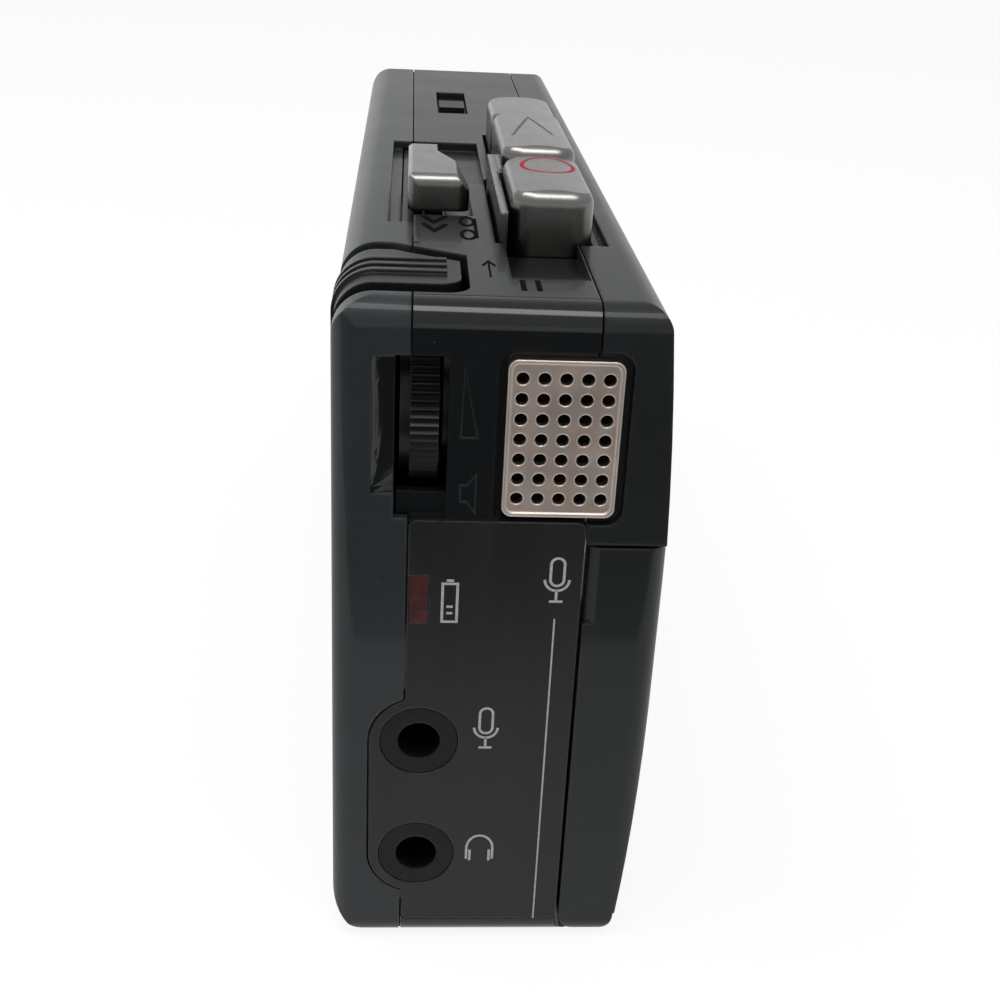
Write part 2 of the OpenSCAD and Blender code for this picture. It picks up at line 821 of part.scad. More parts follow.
// Underside and far end of the case, with two screw posts and the lid's hinge lug
module centre_frame() {
    x0 = rear_x + seam / 2;
    lug_y0 = wall + 2 * lid_gap;
    color(plastic) place() difference() {
        union() {
            intersection() {
                union() {
                    case_shell(x0, front_x - seam / 2);
                    parting_tongue(0);
                }
                block([0, panel_lip + seam, -past], [body_t, body_l + past, top_in - seam]);
            }
            for (s = [screw_places[0], screw_places[1]])
                block([x0, s.x - boss_r, wall - fuse], [x0 + post_l, s.x + boss_r, s.y + boss_r]);
            block([front_x - 3, lug_y0, wall - fuse], [front_x - seam / 2, lug_y0 + lug_t, 2 * hinge_z]);
            block([front_x - 1, lug_y0, hinge_z - pin_r], [hinge_x, lug_y0 + lug_t, hinge_z + pin_r]);
            rod_y(lug_y0, lug_y0 + lug_t, hinge_x, hinge_z, 2 * pin_r);
        }
        for (s = [screw_places[0], screw_places[1]]) rod_x(0, x0 + post_l - 1, s.x, s.y, screw_r + fit / 2);
        rod_y(0, lug_y0 + lug_t + 1, hinge_x, hinge_z, pin_r + fit / 2);
    }
}

// Four screws that hold the rear cabinet
module case_screws() {
    color(steel) place() for (s = screw_places) {
        rod_x(head_sink, head_sink + screw_head_h, s.x, s.y, screw_head_r);
        rod_x(head_sink + screw_head_h - fuse, rear_x + post_l - 1, s.x, s.y, screw_r);
    }
}

// Perforated metal plate over the microphone
module mic_grille() {
    w = grille_w / 2;
    h = grille_h / 2;
    rim = 0.3;
    color(plated) place() difference() {
        plate_y(0, grille_t) round_rect([grille_x - w, grille_z - h], [grille_x + w, grille_z + h], 0.8);
        plate_y(-past, 0.15)
            round_rect([grille_x - w + rim, grille_z - h + rim],
                       [grille_x + w - rim, grille_z + h - rim], 0.6);
        for (i = [-2 : 2], k = [-3 : 3])
            rod_y(-1, grille_t + 1, grille_x + i * grille_pitch, grille_z + k * grille_pitch, grille_hole_r);
    }
}

// Microphone capsule seated in the sound hole
module mic_capsule() {
    color(steel) place() union() {
        rod_y(grille_t + 2 * fit, grille_t + capsule_l, grille_x, grille_z, capsule_r);
        rod_y(grille_t + capsule_l - fuse, grille_t + capsule_l + 0.8, grille_x, grille_z, capsule_r - 1);
    }
}

// Plug socket with a collar that passes through the end panel
module jack(z) {
    s = jack_collar_r;
    difference() {
        union() {
            rod_y(0.05, 2 * wall, jack_x, z, jack_collar_r);
            block([jack_x - s, wall + fit, z - s], [jack_x + s, jack_l, z + s]);
        }
        rod_y(-past, jack_l - 1, jack_x, z, jack_r);
    }
}

module mic_jack() {
    color(dark) place() jack(mic_jack_z);
}

module earphone_jack() {
    color(dark) place() jack(ear_jack_z);
}

// Red lens of the battery lamp
module battery_lamp() {
    color([0.55, 0.1, 0.1]) place() lamp_block(0);
}

// Thumb wheel with a knurled rim and a smooth flange
module volume_wheel() {
    color(dark) place() difference() {
        union() {
            translate([rear_x, wheel_y, wheel_z]) rotate([90, 0, 90])
                linear_extrude(wheel_rim_w) polygon(knurl_points(knurls, wheel_r, knurl_h));
            rod_x(wheel_x0, rear_x + fuse, wheel_y, wheel_z, wheel_r - 2 * knurl_h);
        }
        rod_x(wheel_x0 - 1, wheel_x1 + 1, wheel_y, wheel_z, wheel_pin_r + run_gap);
    }
}

// Body and spindle of the volume control
module volume_control() {
    color(steel) place() union() {
        rod_x(wheel_x1 + slide_gap, wheel_x1 + slide_gap + pot_t, wheel_y, wheel_z, pot_r);
        rod_x(wheel_x0, wheel_x1 + slide_gap + fuse, wheel_y, wheel_z, wheel_pin_r);
    }
}

// Upright block with corners of radius big and top edges of radius small
module soft_block(low, high, big, small) {
    h = high.z - low.z;
    corners = [[high.x - big, high.y - big, 0], [low.x + big, high.y - big, 90],
               [low.x + big, low.y + big, 180], [high.x - big, low.y + big, 270]];
    plate_y(low.y + big, high.y - big) difference() {
        translate([low.x, low.z]) square([high.x - low.x, h]);
        corner_cut([low.x + small, high.z - small], small, [-1, 1]);
        corner_cut([high.x - small, high.z - small], small, [1, 1]);
    }
    plate_x(low.x + big, high.x - big) difference() {
        translate([low.y, low.z]) square([high.y - low.y, h]);
        corner_cut([low.y + small, high.z - small], small, [-1, 1]);
        corner_cut([high.y - small, high.z - small], small, [1, 1]);
    }
    for (c = corners)
        translate([c.x, c.y, low.z]) rotate([0, 0, c.z]) rotate_extrude(angle = 90) difference() {
            square([big, h]);
            corner_cut([big - small, h - small], small, [1, 1]);
        }
}

// Plated cap of a key, from under the panel up to its crowned top
module key_cap(y0, l, rise) {
    z1 = body_w + rise;
    mid = (key_x0 + key_x1) / 2;
    intersection() {
        soft_block([key_x0, y0, flange_z1 - fuse], [key_x1, y0 + l, z1 + fit], key_corner_r, key_edge_r);
        plate_y(y0 - past, y0 + l + past)
            translate([mid, z1 - key_crown_r]) circle(key_crown_r, $fn = 180);
    }
}

// Flange under the panel that keeps a key in, with the stem that works the mechanism
module key_foot(y0, l, reach) {
    block([key_x0 - flange_over, y0, flange_z1 - flange_t], [key_x1 + flange_over, y0 + l, flange_z1]);
    block([stem_x0, y0 + l / 2 - stem_w / 2, flange_z1 - flange_t - reach],
          [stem_x0 + stem_t, y0 + l / 2 + stem_w / 2, flange_z1 - flange_t + fuse]);
}

module record_key() {
    color(plated) place() difference() {
        union() {
            key_cap(record_y, record_l, record_rise);
            key_foot(record_y, record_l, stem_l / 2);
        }
        block([0, 0, top_in - past], [key_x0, body_l, flange_z1 + fuse]);
    }
}

// Play key, with an arm along the record key so that one finger works both
module play_key() {
    color(plated) place() union() {
        key_cap(play_y, play_l, play_rise);
        key_foot(play_y, play_l, stem_l);
        block([arm_x0, record_y, flange_z1 - flange_t], [arm_x0 + arm_w, play_y + fuse, body_w + arm_rise]);
        block([arm_x0, play_y, flange_z1 - flange_t], [key_x0 + fuse, play_y + arm_root, body_w + arm_rise]);
    }
}

module stop_key() {
    color(plated) place() union() {
        key_cap(stop_y, stop_l, stop_rise);
        key_foot(stop_y, stop_l, stem_l / 2);
    }
}

// Sprung knob that slides one way for cue and the other for review
module cue_review_lever() {
    z0 = body_w + 2 * fit;
    z1 = body_w + cue_rise;
    y1 = cue_start + cue_l;
    x1 = cue_x0 + cue_w;
    r = 1;
    color(plated) place() union() {
        intersection() {
            translate([0, 0, z0]) linear_extrude(z1 - z0) difference() {
                polygon([[cue_x0, cue_start], [x1, cue_start], [x1, cue_start + 3], [x1 - cue_step, y1 - 4],
                         [x1 - cue_step, y1], [cue_x0, y1]]);
                corner_cut([cue_x0 + r, cue_start + r], r, [-1, -1]);
                corner_cut([x1 - r, cue_start + r], r, [1, -1]);
            }
            plate_x(cue_x0 - 1, x1 + 1) difference() {
                translate([cue_start, z0]) square([cue_l, z1 - z0]);
                corner_cut([cue_start + r, z1 - r], r, [-1, 1]);
                corner_cut([y1 - r, z1 - r], r, [1, 1]);
            }
            plate_y(cue_start, y1)
                polygon([[cue_x0, z0], [x1, z0], [x1, z1 - 1.6], [x1 - 1.2, z1],
                         [cue_x0 + 0.4, z1], [cue_x0, z1 - 0.4]]);
        }
        block([cue_x0 + slide_gap, cue_well_y0 + cue_travel + slide_gap, body_w - cue_depth + slide_gap],
              [x1 - cue_step - slide_gap, y1 - r, z0 + fuse]);
        block([cue_stem_x0, cue_mid - cue_stem_l / 2, top_in - slide_gap - 1],
              [cue_stem_x0 + cue_stem_w, cue_mid + cue_stem_l / 2, z0 + fuse]);
        block([cue_stem_x0 - 0.8, cue_mid - 4.5, top_in - slide_gap - 1],
              [cue_stem_x0 + cue_stem_w + 0.8, cue_mid + 4.5, top_in - slide_gap]);
    }
}

// Ribbed tongue that wraps over the edge between the back and the control side
module pause_slider() {
    ribs = [2.5, 4.2, 5.9];
    rib_w = 0.6;
    guide_z1 = top_in - slide_gap + fit;
    color(dark) place() union() {
        intersection() {
            translate([0, 0, body_w - pause_reach]) linear_extrude(2 * past) tongue_outline(0, 0, 0);
            plate_y(0, body_l) difference() {
                case_section(0, 0);
                case_section(wall, 0);
            }
        }
        intersection() {
            plate_y(0, body_l) difference() {
                case_section(-rib_h, 0);
                case_section(fuse, 0);
            }
            union() {
                for (y = ribs)
                    block([-past, pause_start + y, body_w - pause_reach],
                          [pause_w - 1.1, pause_start + y + rib_w, body_w + past]);
            }
        }
        block([back_top_r, pause_start - 1.5, guide_z1 - 0.6],
              [pause_w - 1, pause_start + pause_l + 0.8, guide_z1]);
        block([back_top_r, pause_start + 1, guide_z1 - fuse], [pause_w - 2, pause_start + 5, top_in + fuse]);
    }
}

// Knob of the tape speed switch
module speed_switch() {
    z0 = body_w - speed_depth + slide_gap / 2;
    color(dark) place() union() {
        block([speed_x0 + slide_gap, speed_knob_y, z0],
              [speed_x0 + speed_w - slide_gap, speed_knob_y + speed_knob_l, body_w - 0.1]);
        block([speed_x0 + 1.2 + slide_gap, speed_knob_y, top_in - 0.2],
              [speed_x0 + speed_w - 1.2 - slide_gap, speed_knob_y + speed_knob_l, z0 + fuse]);
    }
}

module speed_switch_body() {
    color(steel) place()
        block([speed_x0 - 0.5, speed_y0 + 1, top_in - 0.5 - speed_body_h],
              [speed_x0 + speed_w + 0.5, speed_y0 + speed_l - 1, top_in - 0.5]);
}

// Cassette lid, with end walls, a rounded hinge edge and a window opening
module cassette_lid() {
    x0 = front_x - seam / 2 + lid_gap;
    lug_y0 = wall + lid_gap;
    lug_y1 = lug_y0 + lug_t + 2 * lid_gap;
    color(plastic) place() difference() {
        union() {
            difference() {
                intersection() {
                    case_solid(0, lid_proud);
                    block([x0, -past, -past], [body_t + past, lid_l, lid_h]);
                }
                intersection() {
                    plate_y(wall, lid_l + past) case_section(lid_wall, lid_proud);
                    block([-past, 0, wall], [body_t + past, lid_l + past, body_w]);
                }
            }
            intersection() {
                case_solid(lid_wall - fuse, lid_proud);
                block([x0, lid_l - wall, 0], [body_t, lid_l, lid_h]);
            }
        }
        plate_y(-past, lid_l + past) corner_cut([hinge_x, hinge_z], hinge_x - x0, [-1, -1]);
        block([front_x - 1, lug_y0, -past], [hinge_x + pin_r / 2, lug_y1, 2 * hinge_z + 1]);
        rod_y(lug_y0, lug_y1, hinge_x, hinge_z, 2 * pin_r + 1.5 * slide_gap);
        rod_y(wall / 2, lug_y1, hinge_x, hinge_z, pin_r + run_gap);
        rod_y(lid_l - 2 * wall, lid_l + 1, hinge_x, hinge_z, pin_r + run_gap);
        lid_opening(fit);
        nail_notch();
    }
}

// Fingernail bevel at the lid's free corner
module nail_notch() {
    translate([front_x, 0, lid_h - 7])
        linear_extrude(7 + past) polygon([[-1, -past], [1.2, -past], [1.2, 0], [0, 0.7], [-1, 0.7]]);
}

// Opening of the lid's window, grown by g
module lid_opening(g) {
    block([body_t - 4, cas_mid - glass_l / 2 - g, glass_z - g],
          [body_t + past, cas_mid + glass_l / 2 + g, glass_z + glass_h + g]);
}

// Clear window let into the lid
module lid_window() {
    color([0.5, 0.55, 0.6, 0.5]) place() intersection() {
        difference() {
            case_solid(0, lid_proud);
            plate_y(-past, body_l) case_section(lid_wall, lid_proud);
        }
        lid_opening(0);
    }
}

// Two pins that the lid turns on
module lid_hinge_pins() {
    lug_end = wall + 2 * lid_gap + lug_t;
    color(steel) place() {
        rod_y(wall / 2 + 0.2, lug_end, hinge_x, hinge_z, pin_r);
        rod_y(lid_l - wall + 0.2, lid_l + lid_gap + lug_t, hinge_x, hinge_z, pin_r);
    }
}

// Steel plate that carries the spindles, the capstan and the motor
module mechanism_plate() {
    z1 = flange_z1 - flange_t - key_travel - slide_gap;
    y0 = panel_lip + slide_gap;
    capsule_room = 1.5;
    color(steel) place() difference() {
        union() {
            block([deck_x0, y0, wall + slide_gap], [deck_x1, deck_y1, z1]);
            for (dy = [-motor_post, motor_post])
                rod_x(motor_x1, deck_x0 + fuse, motor_y + dy, motor_z + motor_post, motor_post_r);
        }
        block([0, -past, grille_z - capsule_r - capsule_room],
              [body_t, grille_t + capsule_l + capsule_room, body_w]);
        for (y = [supply_y, take_up_y]) rod_x(0, body_t, y, reel_z, spindle_r + run_gap);
        rod_x(0, body_t, capstan_y, capstan_z, capstan_r + run_gap);
    }
}

// Reel spindle with its gear behind the plate and a splined head in front of it
module spindle(y, turn) {
    head_x0 = deck_x1 + slide_gap;
    head_x1 = deck_x1 + spindle_h;
    translate([gear_x0, y, reel_z]) rotate([90, 0, 90]) rotate(turn)
        linear_extrude(gear_t) polygon(gear_points(reel_teeth, gear_m));
    rod_x(gear_x0, head_x1 - 1, y, reel_z, spindle_r);
    rod_x(head_x0, head_x1 - 0.8, y, reel_z, spindle_head_r);
    translate([head_x1 - 0.8 - fuse, y, reel_z]) rotate([0, 90, 0])
        cylinder(h = 0.8 + fuse, r1 = spindle_head_r - 0.2, r2 = spindle_r);
    for (a = [0, 120, 240])
        translate([head_x0, y, reel_z]) rotate([a, 0, 0])
            translate([0, -0.35, spindle_head_r - 0.5]) cube([spindle_h - slide_gap - 1, 0.7, 1.1]);
}

module supply_spindle() {
    color(plated) place() union() spindle(supply_y, 0);
}

// Turned so that a gap between teeth faces the pinion
module take_up_spindle() {
    color(plated) place() union() spindle(take_up_y, mesh_angle + 180 + 180 / reel_teeth);
}

// Capstan shaft with the pinion that drives the take-up reel
module capstan() {
    color(steel) place() union() {
        rod_x(fly_x0 - 0.4, deck_x1 + spindle_h + 0.8, capstan_y, capstan_z, capstan_r);
        translate([gear_x0, capstan_y, capstan_z]) rotate([90, 0, 90]) rotate(mesh_angle)
            linear_extrude(gear_t) polygon(gear_points(pinion_teeth, gear_m));
    }
}

// Flywheel with a belt groove round its rim
module flywheel() {
    web_r = fly_r - 2.4;
    color(brass) place() difference() {
        rod_x(fly_x0, fly_x1, capstan_y, capstan_z, fly_r);
        rod_x(fly_x0 - 1, fly_x1 + 1, capstan_y, capstan_z, capstan_r);
        difference() {
            rod_x(belt_x - groove_w / 2, belt_x + groove_w / 2, capstan_y, capstan_z, fly_r + past);
            rod_x(belt_x - past, belt_x + past, capstan_y, capstan_z, fly_r - groove_h);
        }
        difference() {
            rod_x(fly_x0 - 1, fly_x0 + 0.8, capstan_y, capstan_z, web_r);
            rod_x(fly_x0 - 2, fly_x0 + 2, capstan_y, capstan_z, 2.5);
        }
    }
}

// Motor with its shaft
module motor() {
    color(steel) place() difference() {
        rod_x(motor_x1 - motor_l, motor_x1, motor_y, motor_z, motor_r);
        rod_x(motor_x1 - 1, motor_x1 + 1, motor_y, motor_z, 1);
    }
}

// Motor pulley with its groove and shaft
module motor_pulley() {
    shaft_r = 0.9;
    color(brass) place() union() {
        difference() {
            rod_x(fly_x0, fly_x1, motor_y, motor_z, pulley_r + groove_h);
            difference() {
                rod_x(belt_x - groove_w / 2, belt_x + groove_w / 2, motor_y, motor_z, pulley_r + past);
                rod_x(belt_x - past, belt_x + past, motor_y, motor_z, pulley_r);
            }
        }
        rod_x(motor_x1 - 0.8, fly_x0 + fuse, motor_y, motor_z, shaft_r);
    }
}

// Points of a line round the motor's pulley and the flywheel, at a distance g from their grooves
function belt_points(g) =
    let (big = fly_r - groove_h + g,
         small = pulley_r + g,
         d = norm([motor_y - capstan_y, motor_z - capstan_z]),
         turn = atan2(motor_z - capstan_z, motor_y - capstan_y),
         a = acos((big - small) / d))
        [for (i = [0 : 64])
             let (q = turn + a + (360 - 2 * a) * i / 64)
                 [capstan_y, capstan_z] + big * [cos(q), sin(q)],
         for (i = [0 : 24])
             let (q = turn - a + 2 * a * i / 24)
                 [motor_y, motor_z] + small * [cos(q), sin(q)]];

// Belt between the motor and the flywheel
module drive_belt() {
    color(dark) place() plate_x(belt_x - belt_w / 2, belt_x + belt_w / 2) difference() {
        polygon(belt_points(run_gap + belt_t));
        polygon(belt_points(run_gap));
    }
}

// Sliding plate that brings the heads and the pinch roller to the tape
module head_carriage() {
    push_y = play_y + play_l / 2;
    color(steel) place() difference() {
        union() {
            block([carriage_x0, carriage_y0, carriage_z0],
                  [carriage_x1, carriage_y1, carriage_z0 + carriage_h]);
            block([carriage_x0, push_y - push_half, carriage_z0 + carriage_h - fuse],
                  [stem_x0 + stem_t, push_y + push_half, push_z]);
            block([carriage_x0, capstan_y - push_half, roller_z - 2 * roller_pin_r],
                  [carriage_x1, capstan_y + push_half, carriage_z0 + push_t]);
            rod_x(carriage_x1 - fuse, carriage_x1 + roller_pin_l, capstan_y, roller_z, roller_pin_r);
        }
        for (y = [carriage_y0 + 3, carriage_y1 - 3])
            block([0, y - 0.8, carriage_z0 + push_t], [body_t, y + 0.8, carriage_z0 + carriage_h - push_t]);
    }
}

// Record and playback head with its rounded face
module tape_head() {
    w = 6.4;
    face_r = 5;
    x0 = carriage_x1 + fit;
    z0 = cas_top + 0.7;
    color(steel) place() intersection() {
        block([x0, cas_mid - w / 2, z0], [x0 + 5.6, cas_mid + w / 2, z0 + 6]);
        rod_x(x0, x0 + 5.6, cas_mid, z0 + face_r, face_r);
    }
}

// Small erase head beside the main one
module erase_head() {
    x0 = carriage_x1 + fit;
    z0 = cas_top + 0.9;
    y0 = cas_mid - 11;
    color(dark) place() block([x0, y0, z0], [x0 + 5, y0 + 3.4, z0 + 4.4]);
}

// Rubber roller that presses the tape on the capstan
module pinch_roller() {
    x0 = carriage_x1 + slide_gap;
    color(dark) place() difference() {
        rod_x(x0, x0 + 5, capstan_y, roller_z, roller_r);
        rod_x(x0 - 1, x0 + 6, capstan_y, roller_z, roller_pin_r + run_gap);
    }
}

// Circuit board behind the mechanism, cut out round the motor and the screw bosses
module circuit_board() {
    x0 = wall + slide_gap;
    t = 1.2;
    color([0.1, 0.3, 0.18]) place() difference() {
        block([x0, wall + 1.2, back_low_r + 1], [x0 + t, door_y0 - 1.5, body_w - pause_reach - 2]);
        rod_x(0, 2 * past, motor_y, motor_z, motor_r + 0.5);
        for (s = screw_places) rod_x(0, 2 * past, s.x, s.y, boss_r + slide_gap);
    }
}

// Open tray that holds the two cells
module battery_box() {
    color(dark) place() difference() {
        block([box_x0, box_y0, bay_z0 - box_wall], [bay_x1 + box_wall, box_y1, bay_z1 + box_wall]);
        block([box_x0 - past, bay_y0, bay_z0], [bay_x1, bay_y1, bay_z1]);
    }
}

// Contact plates at both ends of the battery bay
module battery_contacts() {
    w = 9;
    mid = (box_x0 + bay_x1) / 2;
    z_low = bay_z0 + (bay_z1 - bay_z0) / 4;
    z_high = bay_z1 - (bay_z1 - bay_z0) / 4;
    color(steel) place() {
        for (z = [z_low, z_high])
            block([mid - w / 2, bay_y0, z - w / 2], [mid + w / 2, bay_y0 + contact_t, z + w / 2]);
        block([mid - w / 2, bay_y1 - contact_t, z_low - w / 2], [mid + w / 2, bay_y1, z_high + w / 2]);
    }
}

// Sliding door over the cells, with a tongue along each side
module battery_door() {
    color(plastic) place() union() {
        intersection() {
            case_solid();
            block([-past, door_y0, door_z], [wall, body_l + past, door_z + door_h]);
        }
        intersection() {
            case_solid();
            block([wall - tongue_t, door_y0, door_z - tongue],
                  [wall, body_l + past, door_z + door_h + tongue]);
        }
    }
}

// Speaker basket and magnet
module speaker() {
    magnet_r = 8;
    color(steel) place() difference() {
        union() {
            rod_x(speaker_x1 - speaker_rim_h, speaker_x1, speaker_y, speaker_z, speaker_r);
            rod_x(speaker_x0, speaker_x1 - 1, speaker_y, speaker_z, magnet_r);
        }
        rod_x(speaker_x1 - cone_seat, speaker_x1 + 1, speaker_y, speaker_z, speaker_r - cone_h);
    }
}

// Paper cone with a domed cap
module speaker_cone() {
    r = speaker_r - cone_h - fit;
    x0 = speaker_x1 - cone_seat + fit;
    color([0.12, 0.11, 0.1]) place() translate([x0, speaker_y, speaker_z]) rotate([0, 90, 0])
        rotate_extrude($fn = 96)
            polygon([[0, 0], [r, 0], [r, cone_h], [r - cone_seat, cone_h],
                     [r / 3 + cone_h / 2, cone_h / 2], [r / 4, 0.75 * cone_h], [0, cone_h]]);
}

// Bracket of the tape counter with its axle
module counter_frame() {
    y0 = counter_y - counter_span / 2;
    y1 = counter_y + counter_span / 2;
    back_x = counter_x - counter_r - slide_gap;
    h = 4.6;
    color(dark) place() union() {
        for (y = [y0 - cheek_t, y1])
            block([back_x - cheek_t, y, counter_z - h],
                  [counter_x + counter_r - 0.4, y + cheek_t, counter_z + h]);
        block([back_x - cheek_t, y0 - cheek_t, counter_z - h], [back_x, y1 + cheek_t, counter_z + h]);
        rod_y(y0 - fuse, y1 + fuse, counter_x, counter_z, counter_axle_r);
    }
}

// One numbered wheel of the counter
module counter_wheel(i) {
    y0 = counter_y - counter_span / 2 + counter_gap + i * (counter_w + counter_gap);
    difference() {
        rod_y(y0, y0 + counter_w, counter_x, counter_z, counter_r);
        rod_y(y0 - 1, y0 + counter_w + 1, counter_x, counter_z, counter_axle_r + run_gap);
    }
}

module counter_units() {
    color([0.85, 0.85, 0.82]) place() counter_wheel(0);
}

module counter_tens() {
    color([0.85, 0.85, 0.82]) place() counter_wheel(1);
}

module counter_hundreds() {
    color([0.85, 0.85, 0.82]) place() counter_wheel(2);
}

// Clear window over the counter
module counter_window() {
    color([0.5, 0.55, 0.6, 0.5]) place() intersection() {
        difference() {
            case_solid();
            case_solid(wall);
        }
        counter_opening(0);
    }
}

// Button that sets the counter to zero
module counter_reset() {
    x1 = crown_x(counter_z, 0) + 0.45;
    shoulder_x = crown_x(counter_z + reset_r + 1, wall) - slide_gap;
    color(dark) place() union() {
        rod_x(shoulder_x - 2, x1, reset_y, counter_z, reset_r);
        rod_x(shoulder_x - 1, shoulder_x, reset_y, counter_z, reset_r + 0.9);
    }
}

rear_cabinet();
front_cabinet();
end_panel();
end_plate();
control_panel();
centre_frame();
case_screws();
mic_grille();
mic_capsule();
mic_jack();
earphone_jack();
battery_lamp();
volume_wheel();
volume_control();
record_key();
play_key();
stop_key();
cue_review_lever();
pause_slider();
speed_switch();
speed_switch_body();
cassette_lid();
lid_window();
lid_hinge_pins();
mechanism_plate();
supply_spindle();
take_up_spindle();
capstan();
flywheel();
motor();
motor_pulley();
drive_belt();
head_carriage();
tape_head();
erase_head();
pinch_roller();
circuit_board();
battery_box();
battery_contacts();
battery_door();
speaker();
speaker_cone();
counter_frame();
counter_units();
counter_tens();
counter_hundreds();
counter_window();
counter_reset();
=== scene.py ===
# Handheld microcassette recorder on its long side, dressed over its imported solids
import math

import bmesh
import bpy
from mathutils import Matrix, Vector
from mathutils.bvhtree import BVHTree


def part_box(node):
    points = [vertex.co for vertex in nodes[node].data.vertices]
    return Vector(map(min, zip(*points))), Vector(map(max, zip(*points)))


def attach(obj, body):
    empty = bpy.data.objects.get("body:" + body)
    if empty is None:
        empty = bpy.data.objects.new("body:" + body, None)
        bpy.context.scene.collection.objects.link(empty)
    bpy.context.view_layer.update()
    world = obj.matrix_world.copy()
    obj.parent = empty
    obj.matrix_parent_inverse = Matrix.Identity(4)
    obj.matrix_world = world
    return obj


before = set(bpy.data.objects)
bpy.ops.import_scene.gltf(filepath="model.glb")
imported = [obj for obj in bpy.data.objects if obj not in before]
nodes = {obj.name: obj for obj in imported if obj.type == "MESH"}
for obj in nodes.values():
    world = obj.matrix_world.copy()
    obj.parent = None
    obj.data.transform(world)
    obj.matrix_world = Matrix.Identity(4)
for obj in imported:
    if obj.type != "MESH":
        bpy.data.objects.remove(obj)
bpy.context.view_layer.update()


# Case shells: the rear and front cabinets, the centre frame between them and the control side,
# moulded in charcoal ABS with a fine grain. They meet at straight partings and four screws hold them.
class Tone:
    """A socket of a finish. Sums on it add nodes, and node() adds any other node beside it."""

    def __init__(self, socket):
        self.socket = socket

    def node(self, kind, settings={}, sockets={}, out=0):
        tree = self.socket.id_data
        made = tree.nodes.new("ShaderNode" + kind)
        for name, value in settings.items():
            setattr(made, name, value)
        for name, value in sockets.items():
            entry = made.inputs[name]
            if isinstance(value, Tone):
                tree.links.new(value.socket, entry)
            elif entry.type == "RGBA":
                entry.default_value = (*value[:3], 1)
            else:
                entry.default_value = value
        return Tone(made.outputs[out]) if len(made.outputs) else None

    def work(self, operation, a, b):
        if all(v.socket.type == "VALUE" for v in (a, b) if isinstance(v, Tone)):
            return self.node("Math", {"operation": operation}, {0: a, 1: b})
        a, b = (v if isinstance(v, (Tone, tuple)) else (v, v, v) for v in (a, b))
        return self.node("VectorMath", {"operation": operation}, {0: a, 1: b})

    def __add__(self, other):
        return self.work("ADD", self, other)

    def __radd__(self, other):
        return self.work("ADD", other, self)

    def __sub__(self, other):
        return self.work("SUBTRACT", self, other)

    def __rsub__(self, other):
        return self.work("SUBTRACT", other, self)

    def __mul__(self, other):
        return self.work("MULTIPLY", self, other)

    def __rmul__(self, other):
        return self.work("MULTIPLY", other, self)

    def __abs__(self):
        return self.node("Math", {"operation": "ABSOLUTE"}, {0: self})

    def rise(self, low, high):
        """0 up to low and 1 from high on, with a soft step between them."""
        return self.node("MapRange", {"interpolation_type": "SMOOTHSTEP"}, {0: self, 1: low, 2: high})

    def blend(self, low, high):
        """The colour low where this is 0 and high where it is 1."""
        return self.node("Mix", {"data_type": "RGBA"}, {0: self, 6: low, 7: high}, 2)

    def noise(self, scale, detail=2.0):
        """Noise at this place, with scale spots to a millimetre."""
        return self.node("TexNoise", {}, {"Vector": self, "Scale": scale, "Detail": detail})

    def part(self, axis):
        """One of a vector's three parts."""
        return self.node("SeparateXYZ", {}, {0: self}, axis)


def new_finish(name):
    """A new material, and the place on its piece in millimetres."""
    look = bpy.data.materials.new(name)
    look.use_nodes = True
    look.node_tree.nodes.clear()
    place = look.node_tree.nodes.new("ShaderNodeTexCoord")
    return look, Tone(place.outputs["Object"]) * 1000


def close_finish(place, colour, rough, relief=None, depth=0.01, rounding=0.12, **fixed):
    """Joins colour, roughness and relief to the surface. Depth and edge rounding are in millimetres."""
    normal = place.node("Bevel", {"samples": 6}, {"Radius": rounding / 1000})
    if relief:
        normal = place.node("Bump", {}, {"Height": relief, "Distance": depth / 1000, "Normal": normal})
    sockets = {"Base Color": colour, "Roughness": rough, "Normal": normal}
    sockets.update({name.replace("_", " ").title().replace("Ior", "IOR"): v for name, v in fixed.items()})
    surface = place.node("BsdfPrincipled", {}, sockets)
    place.node("OutputMaterial", {}, {"Surface": surface})


def edges(place, reach):
    """How sharply the surface turns within reach millimetres: 0 on a flat face, near 1 on an edge."""
    rounded = place.node("Bevel", {"samples": 6}, {"Radius": reach / 1000})
    true = place.node("NewGeometry", {}, {}, "Normal")
    along = place.node("VectorMath", {"operation": "DOT_PRODUCT"}, {0: rounded, 1: true}, "Value")
    return (1 - along).rise(0.01, 0.2)


def times(colour, factor):
    return tuple(c * factor for c in colour)


